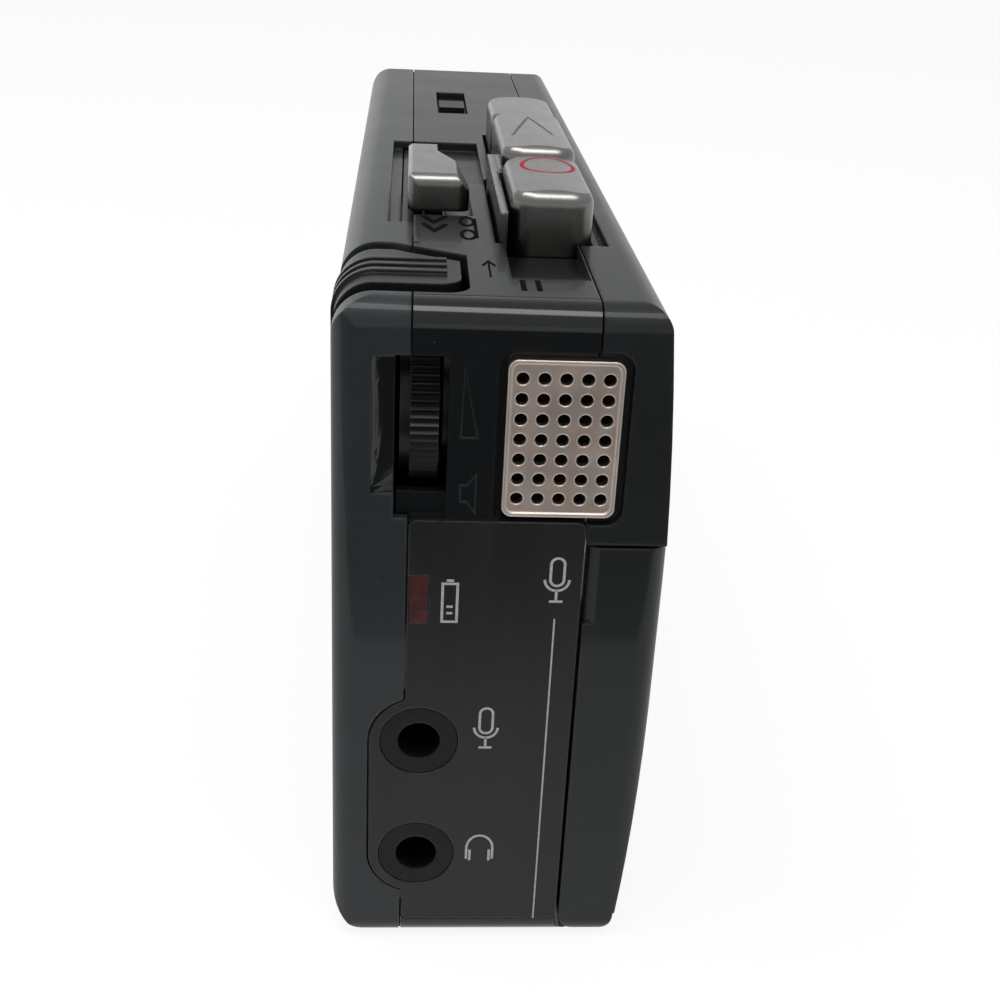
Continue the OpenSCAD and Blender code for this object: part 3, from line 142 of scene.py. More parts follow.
def moulded(name, colour, rough, grain=0.012, polish=0.5, scuff=0.5, rounding=0.3, coat=0.0):
    """Grained plastic: cloudy colour, edges polished by hands, fine scuffs and a little dust.
    Coat is the gloss that use has laid over the grain, which hides some of the grain's own sheen."""
    look, place = new_finish(name)
    cloud = place.noise(0.11, 3.0)
    speck = place.noise(8.0)
    worn = edges(place, 0.5) * place.noise(0.6).rise(0.3, 0.65) * polish
    patch = place.noise(0.07, 2.0).rise(0.48, 0.62)
    hair = (place * (0.35, 0.05, 0.6)).noise(1.6, 3.0)
    line = (1 - abs(hair - 0.5).rise(0.0, 0.012)) * patch * scuff
    cell = place.node("TexVoronoi", {}, {"Vector": place, "Scale": 0.42})
    dust = (1 - cell.rise(0.014, 0.04)) * place.noise(0.21).rise(0.5, 0.6) * 0.4
    tone = cloud.rise(0.3, 0.7).blend(times(colour, 0.86), times(colour, 1.16))
    tone = (speck.rise(0.35, 0.75) * 0.35).blend(tone, times(colour, 1.5))
    tone = worn.blend(tone, times(colour, 2.6))
    tone = (line * 0.5).blend(tone, times(colour, 3.5))
    tone = dust.blend(tone, (0.10, 0.10, 0.098))
    dull = cloud * 0.16 + line * 0.08 - worn * 0.16 + (rough - 0.08)
    grain_sheen = 0.26 - coat * 0.3
    close_finish(place, tone, dull, speck - line * 0.4, grain, rounding,
                 specular_ior_level=grain_sheen, coat_weight=coat, coat_roughness=0.09)
    return look


def dress(look, *names):
    """Gives CAD nodes their finish."""
    for name in names:
        for held in nodes[name].material_slots:
            held.material = look


charcoal = (0.0076, 0.0094, 0.0104)
case_finish = moulded("charcoal_case", charcoal, 0.43, rounding=0.45, coat=0.25)
dress(case_finish, "front_cabinet", "centre_frame", "control_panel")
back_finish = moulded("charcoal_back", times(charcoal, 2.0), 0.42, scuff=0.25, rounding=0.45, coat=0.25)
dress(back_finish, "rear_cabinet")


# Printed plate of the jack end: a thin satin panel, brownish black, let into the end panel, whose own
# plastic is a shade glossier than the case. White signs are screen-printed on the plate.
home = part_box("rear_cabinet")[0]
inward = (0, 1, 0)


def spot(x, y, z):
    """A point in the frame from millimetres off the case's back face, jack end and underside."""
    return home + Vector((x, y, z)) / 1000


def skin_of(name):
    """The surface of a node, for finding where a line from outside meets it."""
    mesh = nodes[name].data
    return BVHTree.FromPolygons([v.co for v in mesh.vertices], [p.vertices for p in mesh.polygons])


def loft(shape, rings, closed=False):
    """Adds a solid through rings of points, with its two ends capped unless they meet."""
    rings = [[shape.verts.new(point) for point in ring] for ring in rings]
    count = len(rings[0])
    for a, b in zip(rings, rings[1:] + rings[:1] if closed else rings[1:]):
        for k in range(count):
            shape.faces.new((a[k], a[(k + 1) % count], b[(k + 1) % count], b[k]))
    if not closed:
        shape.faces.new(rings[0])
        shape.faces.new(rings[-1][::-1])


def settle(shape, name, look, body):
    """Makes the shape a piece that rides on a body."""
    bmesh.ops.recalc_face_normals(shape, faces=shape.faces)
    mesh = bpy.data.meshes.new(name)
    shape.to_mesh(mesh)
    shape.free()
    mesh.materials.append(look)
    made = bpy.data.objects.new(name, mesh)
    bpy.context.scene.collection.objects.link(made)
    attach(made, body)


def stroke(name, lines, width, carrier, down, look, body, proud=0.02, sunk=0.15):
    """Lines of one width, printed on or moulded with a node: each is laid on its face, going down.
    Down is one direction for all of them, or a list with one for each line."""
    skin = skin_of(carrier)
    ways = down if isinstance(down, list) else [down] * len(lines)
    start_off, sharpest_mitre = 0.02, 0.4
    shape = bmesh.new()
    for line, way in zip(lines, ways):
        way = Vector(way)
        closed = line[0] == line[-1]
        points = [spot(*p) for p in (line[:-1] if closed else line)]
        count = len(points)
        rings = []
        for i, point in enumerate(points):
            runs = []
            if i or closed:
                runs.append((point - points[i - 1]).normalized())
            if i + 1 < count or closed:
                runs.append((points[(i + 1) % count] - point).normalized())
            sides = [way.cross(run) for run in runs]
            across = (sides[0] + sides[-1]).normalized()
            across *= width / 2000 / max(sharpest_mitre, across.dot(sides[0]))
            met = [skin.ray_cast(point + side - way * start_off, way)[0] for side in (across, -across)]
            rise, sink = way * proud / 1000, way * sunk / 1000
            rings.append((met[0] - rise, met[1] - rise, met[1] + sink, met[0] + sink))
        loft(shape, rings, closed)
    settle(shape, name, look, body)


def on_end(*points):
    """A line on the jack end, from distances off the back face and the underside."""
    return [(x, 0, z) for x, z in points]


def arc(x, z, rx, rz, start, end, steps):
    """Points of an arc on the jack end, from start to end degrees."""
    turns = [math.radians(start + (end - start) * i / steps) for i in range(steps + 1)]
    return on_end(*((x + rx * math.cos(t), z + rz * math.sin(t)) for t in turns))


case_end = moulded("end_panel_plastic", (0.0036, 0.0048, 0.0056), 0.28, 0.006, coat=0.75)
dress(case_end, "end_panel")

satin_plate, place = new_finish("printed_plate")
sheen = (place * (1.0, 1.0, 0.12)).noise(0.35, 3.0)
fleck = place.noise(11.0)
rubbed = edges(place, 0.35) * place.noise(0.9).rise(0.35, 0.6) * 0.6
tint = sheen.rise(0.3, 0.7).blend((0.0070, 0.0076, 0.0077), (0.0100, 0.0106, 0.0107))
tint = (fleck.rise(0.5, 0.8) * 0.3).blend(tint, (0.020, 0.020, 0.020))
tint = rubbed.blend(tint, (0.05, 0.05, 0.048))
close_finish(place, tint, sheen * 0.14 + 0.30, fleck, 0.004, 0.2, specular_ior_level=0.3)
dress(satin_plate, "end_plate")

print_white, place = new_finish("print_white")
thin = place.noise(3.0, 4.0)
tint = thin.rise(0.25, 0.75).blend((0.30, 0.31, 0.31), (0.44, 0.45, 0.45))
close_finish(place, tint, thin * 0.2 + 0.45, thin, 0.003, 0.01)

battery_sign = [
    on_end((9.0, 33.2), (10.2, 33.2), (10.2, 36.7), (9.0, 36.7), (9.0, 33.2)),
    on_end((9.3, 37.0), (9.9, 37.0)),
    on_end((9.35, 34.0), (9.85, 34.0)),
    on_end((9.35, 34.6), (9.85, 34.6)),
]


def microphone(x, z):
    """A microphone on its stand, with its foot at this place."""
    body, cradle = 0.55, 1.0
    return [
        arc(x, z + 3.4, body, body, 0, 180, 12) + arc(x, z + 2.0, body, body, 180, 360, 12)
        + on_end((x + body, z + 3.4)),
        arc(x, z + 2.0, cradle, cradle, 180, 360, 14),
        on_end((x, z + 1.0), (x, z + 0.1)),
        on_end((x - body, z), (x + body, z)),
    ]


earphone_sign = [
    arc(13.0, 10.2, 1.15, 1.35, 0, 180, 18),
    on_end((11.85, 10.2), (11.85, 9.0)),
    on_end((14.15, 10.2), (14.15, 9.0)),
    on_end((12.15, 10.0), (12.15, 8.8)),
    on_end((13.85, 10.0), (13.85, 8.8)),
]
plate_signs = battery_sign + microphone(13.05, 20.9) + microphone(18.2, 35.2) + earphone_sign
ink = 0.004
stroke("plate_signs", plate_signs, 0.22, "end_plate", inward, print_white, "case", ink)
plate_rule = [on_end((18.2, 2.2), (18.2, 33.6))]
stroke("plate_rule", plate_rule, 0.14, "end_plate", inward, print_white, "case", ink)


# Microphone grille: a pressed plate of champagne-coloured plated metal with 35 holes, glued into a
# groove of the end panel over a sheet of black felt. The capsule sits behind them.
champagne, place = new_finish("champagne_plating")
mist = place.noise(0.35, 4.0)
pore = place.noise(14.0)
# Lighter rims round the holes: a painted highlight where the pressed rims catch the light
rim_highlight = edges(place, 0.3) * 0.9
tint = mist.rise(0.3, 0.7).blend((0.610, 0.505, 0.435), (0.710, 0.600, 0.525))
tint = (pore.rise(0.55, 0.8) * 0.3).blend(tint, (0.37, 0.30, 0.26))
tint = rim_highlight.blend(tint, (0.74, 0.68, 0.62))
close_finish(place, tint, mist * 0.12 + pore * 0.1 + 0.3, pore, 0.006, 0.22, metallic=1.0)
dress(champagne, "mic_grille")

felt, place = new_finish("capsule_felt")
fibre = (place * (1.0, 1.0, 3.0)).noise(5.0, 4.0)
tint = fibre.rise(0.35, 0.7).blend((0.003, 0.0022, 0.0014), (0.008, 0.0064, 0.0044))
close_finish(place, tint, fibre * 0.1 + 0.85, fibre, 0.05, specular_ior_level=0.04)
dress(felt, "mic_capsule")


def lofted(name, rings, look, body):
    """A piece that is one solid through rings of points."""
    shape = bmesh.new()
    loft(shape, rings)
    settle(shape, name, look, body)


low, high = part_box("mic_grille")
middle = (low + high) / 2
corner_inset, corner_radius = 0.0009, 0.0006
felt_front, felt_back = 0.000005, 0.000045
outline = []
for x, z, start in ((high.x, high.z, 0), (low.x, high.z, 90), (low.x, low.z, 180), (high.x, low.z, 270)):
    x -= math.copysign(corner_inset, x - middle.x)
    z -= math.copysign(corner_inset, z - middle.z)
    turns = [math.radians(start + 15 * step) for step in range(7)]
    outline += [(x + corner_radius * math.cos(t), z + corner_radius * math.sin(t)) for t in turns]
rings = [[(x, high.y + depth, z) for x, z in outline] for depth in (felt_front, felt_back)]
lofted("grille_felt", rings, felt, "case")


# Jacks: the microphone and earphone sockets, turned collars of glossy black nylon that pass through
# the plate, with sprung contacts inside.
jack_nylon, place = new_finish("jack_nylon")
swirl = (place * (1.0, 0.2, 1.0)).noise(1.2, 3.0)
ring_wear = edges(place, 0.3) * swirl.rise(0.35, 0.6) * 0.5
tint = swirl.rise(0.3, 0.7).blend((0.0045, 0.0050, 0.0056), (0.0075, 0.0081, 0.0088))
tint = ring_wear.blend(tint, (0.026, 0.027, 0.029))
close_finish(place, tint, swirl * 0.16 + 0.2, swirl, 0.006, 0.25, specular_ior_level=0.16)
dress(jack_nylon, "mic_jack", "earphone_jack")


# Battery lamp: a dark red lens of clear-dyed acrylic, pushed through the end panel from inside. A lamp
# on the board lights it. Unlit, it looks nearly black.
lamp_lens, place = new_finish("lamp_lens")
depth_tone = place.noise(0.8, 3.0)
ridge = (place * (0.2, 0.2, 1.0)).noise(2.2)
tint = depth_tone.rise(0.3, 0.7).blend((0.042, 0.0085, 0.0095), (0.070, 0.016, 0.017))
close_finish(place, tint, ridge * 0.15 + 0.2, ridge, 0.01, specular_ior_level=0.3)
dress(lamp_lens, "battery_lamp")


# Volume wheel: a knurled disc of black nylon on the spindle of a carbon control, which sits on the
# board. Its ribs and the finger scoop beside it are rubbed shiny by the thumb, and the ribs' edges are
# painted lighter, partly as wear and partly as a painted highlight. Its sign is moulded in.
wheel_nylon, place = new_finish("wheel_nylon")
body_tone = place.noise(0.5, 3.0)
# Lighter rib edges: partly thumb wear and partly a painted highlight
rubbed = edges(place, 0.14) * body_tone.rise(0.2, 0.6)
tint = body_tone.rise(0.3, 0.7).blend((0.0036, 0.0041, 0.0047), (0.0062, 0.0068, 0.0075))
tint = (rubbed * 0.8).blend(tint, (0.040, 0.043, 0.047))
close_finish(place, tint, body_tone * 0.16 + 0.26 - rubbed * 0.1, place.noise(10.0), 0.004, 0.06,
             specular_ior_level=0.2)
dress(wheel_nylon, "volume_wheel")

# The scoop's lining lies on the cabinet: a curved wall from its edge, a floor and a rising lower end
scoop_gloss = moulded("scoop_gloss", (0.0036, 0.0046, 0.0054), 0.2, 0.003, 0.6, 0.7, 0.08, 0.8)
scoop_edge = (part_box("volume_wheel")[0] - home).x * 1000 - 2.3
scoop_width, scoop_middle, scoop_half = 1.85, 50.2, 5.55
beside, first_point = -0.3, 0.03
lift, least_depth, lining = 0.03, 0.003, 0.0002
skin = skin_of("rear_cabinet")
rings = []
for step in range(25):
    level = step / 12 - 1
    wall = max(0.3, 0.95 - 0.65 * (level - 0.1) ** 2)
    shallow = 1 - 0.6 * (max(0, -0.5 - level) / 0.5) ** 2
    on_wall = [first_point] + [wall * part for part in (0.25, 0.5, 0.75, 1.0)]
    across = on_wall + [(wall + scoop_width) / 2, scoop_width]
    starts = [spot(scoop_edge + x, -9, scoop_middle + scoop_half * level) for x in [beside] + across]
    outside, *hits = [skin.ray_cast(start, Vector(inward))[0] for start in starts]
    depths = [(hit.y - outside.y) * 1000 for hit in hits]
    wall_depth = depths[len(on_wall) - 1]
    face = []
    for x, depth, hit in zip(across, depths, hits):
        if x < wall:
            depth = min(depth, wall_depth * (x / wall) ** 0.85)
        face.append((hit.x, outside.y + max(least_depth, depth * shallow - lift) / 1000, hit.z))
    rings.append(face + [(hit.x, hit.y + lining, hit.z) for hit in reversed(hits)])
lofted("wheel_scoop", rings, scoop_gloss, "case")

volume_sign = [
    on_end((10.14, 55.0), (11.3, 49.4), (10.0, 49.4), (10.14, 55.0)),
    on_end((10.1, 44.0), (10.1, 45.4), (10.6, 45.4), (11.3, 46.3), (11.3, 43.1), (10.6, 44.0), (10.1, 44.0)),
]
stroke("volume_sign", volume_sign, 0.2, "end_panel", inward, case_finish, "case", 0.005)

black_finish = moulded("black_nylon", (0.0048, 0.0052, 0.0060), 0.4, 0.008, 0.6, 0.4, 0.12)
dress(black_finish, "volume_control")


# Transport keys: record, play and stop caps of plated plastic, sprung up from below. The plating is
# satin on top and shining on the rolled edges. Its flanks are darkened towards brown, partly by years
# of fingers and partly as painted shade of the sides, most of all towards the bottom. The scoop before
# the record key is laid with a darker sheet, painted shade, and is rubbed smooth.
def plating(name, low, high):
    """Worn satin plating: its flanks are darkened towards brown, partly by wear and partly as painted shade,
    most of all from high down to low millimetres.
    """
    look, place = new_finish(name)
    satin = (place * (1.0, 0.15, 1.0)).noise(2.2, 3.0)
    haze = place.noise(0.3, 4.0)
    facing = place.node("TexCoord", {}, {}, "Normal").part(2)
    flank = 1 - abs(facing).rise(0.25, 0.75)
    below = 1 - place.part(2).rise(low, high)
    # Flanks turn dark brown, darkest towards the bottom: partly wear and partly painted shade of the sides
    brown_wear_and_shade = flank * (below * 0.6 + 0.4) * (haze * 0.6 + 0.5)
    crust = flank * place.noise(3.0, 5.0).rise(0.5, 0.7) * below
    tint = haze.rise(0.3, 0.7).blend((0.205, 0.203, 0.199), (0.245, 0.242, 0.237))
    tint = (satin.rise(0.5, 0.8) * 0.2).blend(tint, (0.180, 0.177, 0.173))
    tint = (brown_wear_and_shade * 0.85).blend(tint, (0.047, 0.041, 0.033))
    tint = (crust * 0.35).blend(tint, (0.050, 0.040, 0.028))
    dull = satin * 0.08 + crust * 0.1 + brown_wear_and_shade * 0.05 + 0.21
    close_finish(place, tint, dull, satin, 0.003, 0.4, metallic=1.0)
    return look


key_finish = plating("key_plating", 60.0, 64.0)
dress(key_finish, "record_key", "play_key", "stop_key")

record_red, place = new_finish("record_red")
worn = place.noise(1.6, 4.0)
tint = worn.rise(0.35, 0.7).blend((0.40, 0.012, 0.034), (0.33, 0.028, 0.050))
close_finish(place, tint, worn * 0.2 + 0.5, worn, 0.004, 0.01, specular_ior_level=0.1)

downward = (0, 0, -1)
over_keys = 67
turns = [t * math.pi / 30 for t in range(60)]
ring = [(18.25 + 2.35 * math.cos(t), 29.2 + 3.2 * math.sin(t), over_keys) for t in turns]
stroke("record_ring", [ring + ring[:1]], 0.4, "record_key", downward, record_red, "record", ink)

filled_line, place = new_finish("filled_line")
soot = place.noise(2.0, 3.0)
tint = soot.rise(0.3, 0.7).blend((0.05, 0.048, 0.045), (0.10, 0.096, 0.09))
close_finish(place, tint, soot * 0.2 + 0.5, soot, 0.004, 0.01)


def finely(line, steps):
    """The same line with more points on it, so that it follows a curved face."""
    pairs = zip(line, line[1:])
    placed = [tuple(a + (b - a) * i / steps for a, b in zip(*pair)) for pair in pairs for i in range(steps)]
    return placed + [line[-1]]


play_arrow = finely([(15.75, 40.6, over_keys), (17.95, 50.1, over_keys), (19.8, 41.2, over_keys)], 8)
stroke("play_arrow", [play_arrow], 0.32, "play_key", downward, filled_line, "play", ink)


def over_panel(*points):
    """A line above the control side, from distances off the back face and the jack end."""
    return [(x, y, 61) for x, y in points]


def panel_mark(name, lines, width, look, proud):
    """Lines that belong to the control side itself."""
    stroke(name, lines, width, "control_panel", downward, look, "case", proud)


# A sheet darker than the panel laid in the scoop before the record key: painted shade of the scoop
scoop_shade_finish = moulded("scoop_painted_shade", times(charcoal, 0.5), 0.28, 0.003, scuff=0.8, rounding=0.05)
scoop = finely(over_panel((16.97, 8.2), (16.97, 17.4)), 24)
panel_mark("thumb_scoop_shade", [scoop], 6.0, scoop_shade_finish, 0.015)


# Cue and review knob: a plated cap on a stem that slides in a well of the control side. Arrows and a
# tape sign are moulded in the panel before it.
dress(key_finish, "cue_review_lever")
# Marks, partings and screw recesses get a colour darker than the case: painted shade of relief and hollows
shade_mark_finish, place = new_finish("moulded_mark_painted_shade")
shade_mottle = place.noise(4.0, 4.0)
tint = shade_mottle.rise(0.3, 0.75).blend((0.0022, 0.0024, 0.0028), (0.0060, 0.0064, 0.0070))
close_finish(place, tint, shade_mottle * 0.15 + 0.8, shade_mottle, 0.01, 0.03, specular_ior_level=0.04)

cue_arrows = [
    over_panel((7.0, 26.4), (7.95, 24.2), (9.05, 26.4)),
    over_panel((7.0, 23.7), (7.95, 21.2), (9.0, 23.5)),
]
relief = 0.05
panel_mark("cue_arrows", cue_arrows, 0.5, shade_mark_finish, relief)
turns = [math.pi * t / 12 for t in range(25)]
reels = [[(10.9 + 0.6 * math.cos(t), y + 1.5 * math.sin(t)) for t in turns] for y in (20.2, 24.8)]
tape_sign = [over_panel(*reel) for reel in reels] + [over_panel((11.6, 19.2), (11.6, 25.8))]
panel_mark("tape_sign", tape_sign, 0.3, shade_mark_finish, relief)


# Pause slider: a ribbed tongue that laps over the back edge, moulded in the case's plastic, with a
# bar sign and an arrow moulded in the panel.
slider_finish = moulded("slider_plastic", (0.0085, 0.0090, 0.0102), 0.34, 0.006, 0.9, 0.6, 0.2)
dress(slider_finish, "pause_slider")
high_relief = 0.06
# The pause signs are darker than the panel: painted shade of their relief
pause_bars = [over_panel((x, 4.0), (x, 6.6)) for x in (14.6, 15.8)]
panel_mark("pause_bars", pause_bars, 0.42, shade_mark_finish, high_relief)
pause_arrow = [
    over_panel((12.2, 7.4), (12.2, 11.8)),
    over_panel((11.7, 10.6), (12.2, 11.9), (12.7, 10.6)),
]
panel_mark("pause_arrow", pause_arrow, 0.16, shade_mark_finish, relief)
tab = over_panel((6.42, 17.1), (6.42, 20.1))
panel_mark("parting_tab", [tab], 0.4, case_finish, high_relief)


# Shade strips: dark strips of painted shade laid in the rear parting, below the surface and above
# the tongue that closes it, wherever no control crosses it.
parting = 6.1
slant = math.sqrt(0.5)
strips = {
    "parting_shade_top": ("control_panel", downward, (62.0, 61), (117.0, 61)),
    "parting_shade_head": ("control_panel", (0, -slant, -slant), (118.47, 61.53), (119.35, 60.65)),
    "parting_shade_far": ("centre_frame", (0, -1, 0), (119, 57.9), (119, 1.5)),
    "parting_shade_low": ("centre_frame", (0, 0, 1), (116.5, -1), (2.6, -1)),
    "parting_shade_heel": ("centre_frame", (0, -slant, slant), (118.47, -1.53), (119.53, -0.47)),
    "parting_shade_brow": ("end_panel", (0, slant, -slant), (-1.53, 60.47), (-0.47, 61.53)),
    "parting_shade_near": ("end_panel", inward, (-1, 3.0), (-1, 1.25)),
    "parting_shade_corner": ("end_panel", (0, slant, slant), (-1.53, -0.47), (-0.47, -1.53)),
}
strip_width, strip_proud, strip_sunk = 0.13, 0.85, 0.05
for name, (carrier, way, *ends) in strips.items():
    line = finely([(parting, y, z) for y, z in ends], 20)
    stroke(name, [line], strip_width, carrier, way, shade_mark_finish, "case",
           strip_proud, strip_sunk)


# Tape speed switch: a small black nylon knob that slides in a recess of the control side. It fits over
# the lever of a switch body, which is soldered to the board below.
dress(black_finish, "speed_switch", "speed_switch_body")


# Cassette lid: moulded in the case's plastic with a smoked window, and hinged on two steel pins. A rail
# on the case's edge follows the lid's barrel below, and a thin stop on the end panel fills its gap.
dress(case_finish, "cassette_lid")

pin_low, pin_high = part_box("lid_hinge_pins")
axis = (pin_low + pin_high) / 2
axis_height = axis.z - home.z
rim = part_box("end_panel")[1].x - 0.00005
barrel = axis_height + 0.00007
case_corner, foot_gap = 0.002, 0.00003
rail_end = (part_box("cassette_lid")[1].y - home.y) * 1000 - 0.1
top = math.acos(min(1, (axis.x - rim) / barrel))
rings = []
for along in (0.05, 0.2, 0.4, 0.7, 1.0, 1.4, 2.0, rail_end):
    y = along / 1000
    foot = case_corner - math.sqrt(case_corner ** 2 - max(0, case_corner - y) ** 2) + foot_gap
    bottom = math.asin((axis_height - foot) / barrel)
    bend = [bottom + (top - bottom) * i / 10 for i in range(11)]
    section = [(axis.x - barrel * math.cos(a), axis_height - barrel * math.sin(a)) for a in bend]
    rings.append([(x, home.y + y, home.z + z) for x, z in [(rim, foot)] + section])
lofted("hinge_rail", rings, case_finish, "case")

stop_section = [(0, 0.5), (0.16, 0.7), (0.2, 0.9), (0.2, 1.5), (0.16, 1.65), (0, 1.75)]
stop_levels = (3.2, 12.2, 21.2, 30.2, 39.2)
rings = []
for z in stop_levels:
    rings.append([(rim + x / 1000, home.y + y / 1000, home.z + z / 1000) for x, y in stop_section])
lofted("lid_stop", rings, case_finish, "case")

pressed_steel, place = new_finish("pressed_steel")
roll = (place * (1.0, 0.06, 0.06)).noise(3.0, 4.0)
stain = place.noise(0.25, 3.0)
tint = stain.rise(0.35, 0.7).blend((0.52, 0.52, 0.53), (0.42, 0.41, 0.40))
close_finish(place, tint, roll * 0.25 + 0.22, roll, 0.005, 0.1, metallic=1.0)
dress(pressed_steel, "lid_hinge_pins")


def clear(name, colour, thickness):
    """See-through plastic with fine wipe marks, which hides what lies behind it by its thickness."""
    look, place = new_finish(name)
    wipe = (place * (1.0, 0.1, 0.5)).noise(1.2, 4.0)
    tint = wipe.rise(0.3, 0.7).blend(colour, times(colour, 1.3))
    haze = wipe.rise(0.45, 0.75) * 0.06 + thickness
    close_finish(place, tint, wipe * 0.06 + 0.05, alpha=haze)
    return look


dress(clear("smoked_window", (0.012, 0.013, 0.014), 0.42), "lid_window")


# Tape mechanism: a pressed and zinc-plated deck with nylon spindles, a ground capstan on a brass
# flywheel, a belt from the motor's pulley, and heads and roller on a carriage that the play key moves.
zinc_plate, place = new_finish("zinc_plate")
bloom = place.noise(0.12, 3.0)
roll = (place * (1.0, 0.05, 0.6)).noise(2.4, 4.0)
tint = bloom.rise(0.3, 0.7).blend((0.50, 0.47, 0.40), (0.50, 0.50, 0.50))
close_finish(place, tint, roll * 0.2 + 0.26, roll, 0.006, 0.1, metallic=1.0)
dress(zinc_plate, "mechanism_plate", "head_carriage")
dress(black_finish, "supply_spindle", "take_up_spindle", "erase_head")


def turned(name, colour, rough):
    """Metal turned on a lathe, with fine rings left by the tool."""
    look, place = new_finish(name)
    tool = (place * (6.0, 0.4, 0.4)).noise(1.4, 3.0)
    age = place.noise(0.3, 3.0)
    tint = age.rise(0.3, 0.75).blend(colour, times(colour, 0.72))
    close_finish(place, tint, tool * 0.16 + rough, tool, 0.004, 0.1, metallic=1.0)
    return look


dress(turned("ground_steel", (0.62, 0.62, 0.63), 0.12), "capstan", "tape_head")
dress(turned("turned_brass", (0.62, 0.47, 0.22), 0.2), "flywheel", "motor_pulley")
dress(pressed_steel, "motor")


def rubber(name, colour):
    """Matt rubber with a bloom of dust."""
    look, place = new_finish(name)
    bloom = place.noise(0.5, 4.0)
    tooth = place.noise(9.0, 3.0)
    tint = bloom.rise(0.4, 0.75).blend(colour, times(colour, 2.2))
    close_finish(place, tint, tooth * 0.12 + 0.72, tooth, 0.02, 0.1)
    return look


dress(rubber("black_rubber", (0.012, 0.012, 0.012)), "drive_belt", "pinch_roller")


# Circuit board: brown phenolic laminate with copper tracks under a green resist. It is screwed behind
# the deck and carries the volume control and the switches.
resist_board, place = new_finish("resist_board")
weave = place.noise(2.6, 3.0)
track = (place * (1.0, 0.35, 1.0)).noise(0.45).rise(0.48, 0.52)
tint = track.blend((0.045, 0.105, 0.040), (0.070, 0.150, 0.060))
tint = (weave.rise(0.5, 0.8) * 0.3).blend(tint, (0.09, 0.11, 0.05))
close_finish(place, tint, weave * 0.15 + 0.35, track, 0.03, 0.1)
dress(resist_board, "circuit_board")


# Battery compartment: a black box with nickelled spring contacts under a sliding door of case plastic,
# with grip ribs and an arrow moulded on it.
dress(black_finish, "battery_box")
dress(pressed_steel, "battery_contacts")
dress(back_finish, "battery_door")


def behind(*points):
    """A line behind the back face, from distances off the jack end and the underside."""
    return [(-1, y, z) for y, z in points]


forward = (1, 0, 0)
ribs = [73.0 + 1.4 * i for i in range(6)]
grip = [behind((y, 10.5), (y, 22.5)) for y in ribs]
stroke("door_grip", grip, 0.55, "battery_door", forward, back_finish, "door", 0.14)
door_arrow = [behind((85.0, 16.5), (93.0, 16.5)), behind((90.6, 18.9), (93.2, 16.5), (90.6, 14.1))]
stroke("door_arrow", door_arrow, 0.7, "battery_door", forward, back_finish, "door", 0.1)


# Speaker: a black-lacquered steel basket with a pressed paper cone, glued behind the slots of the
# front cabinet.
dress(turned("speaker_lacquer", (0.030, 0.030, 0.032), 0.4), "speaker")
cone_paper, place = new_finish("cone_paper")
pulp = place.noise(3.0, 5.0)
tint = pulp.rise(0.3, 0.7).blend((0.012, 0.011, 0.010), (0.028, 0.026, 0.023))
close_finish(place, tint, pulp * 0.1 + 0.85, pulp, 0.03)
dress(cone_paper, "speaker_cone")


# Tape counter: three white number wheels on one axle in a black bracket, behind a clear window, with a
# reset button beside it.
dress(black_finish, "counter_frame", "counter_reset")
wheel_white, place = new_finish("wheel_white")
aged = place.noise(0.6, 3.0)
tint = aged.rise(0.3, 0.7).blend((0.62, 0.61, 0.57), (0.72, 0.71, 0.68))
close_finish(place, tint, aged * 0.15 + 0.4, place.noise(8.0), 0.006)
dress(wheel_white, "counter_units", "counter_tens", "counter_hundreds")

digit_black, place = new_finish("digit_black")
dye = place.noise(5.0, 3.0)
tint = dye.rise(0.3, 0.7).blend((0.010, 0.010, 0.011), (0.026, 0.026, 0.027))
close_finish(place, tint, dye * 0.2 + 0.5, dye, 0.003, 0.01)

loop = [(-1, -1), (1, -1), (1, 1), (-1, 1), (-1, -1)]
figures = [
    [loop],
    [[(0, -1), (0, 1)]],
    [[(-1, 1), (1, 1), (1, 0), (-1, 0), (-1, -1), (1, -1)]],
    [[(-1, 1), (1, 1), (1, -1), (-1, -1)], [(-0.4, 0), (0.8, 0)]],
    [[(-1, 1), (-1, 0), (0.8, 0)], [(1, 1), (1, -1)]],
    [[(1, 1), (-1, 1), (-1, 0), (1, 0), (1, -1), (-1, -1)]],
    [[(1, 1), (-1, 1), (-1, -1), (1, -1), (1, 0), (-0.8, 0)]],
    [[(-1, 1), (1, 1), (1, -1)]],
    [loop, [(-0.8, 0), (0.8, 0)]],
    [[(0.8, 0), (-1, 0), (-1, 1), (1, 1), (1, -1), (-1, -1)]],
]
half_width, half_height = 0.0005, 0.0007
for wheel in ("units", "tens", "hundreds"):
    drum = "counter_" + wheel
    low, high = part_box(drum)
    axle = (low + high) / 2
    radius = (high.z - low.z) / 2
    lines, ways = [], []
    for figure, strokes in enumerate(figures):
        around = math.radians(36 * figure)
        out = Vector((math.cos(around), 0, math.sin(around)))
        rising = Vector((math.sin(around), 0, -math.cos(around))) * half_height
        aside = Vector((0, half_width, 0))
        for points in strokes:
            placed = [axle + out * radius + rising * v - aside * u - home for u, v in finely(points, 6)]
            lines.append([tuple(point * 1000) for point in placed])
            ways.append(-out)
    stroke(wheel + "_figures", lines, 0.2, drum, ways, digit_black, wheel, 0.01)
dress(clear("counter_glazing", (0.45, 0.46, 0.46), 0.05), "counter_window")


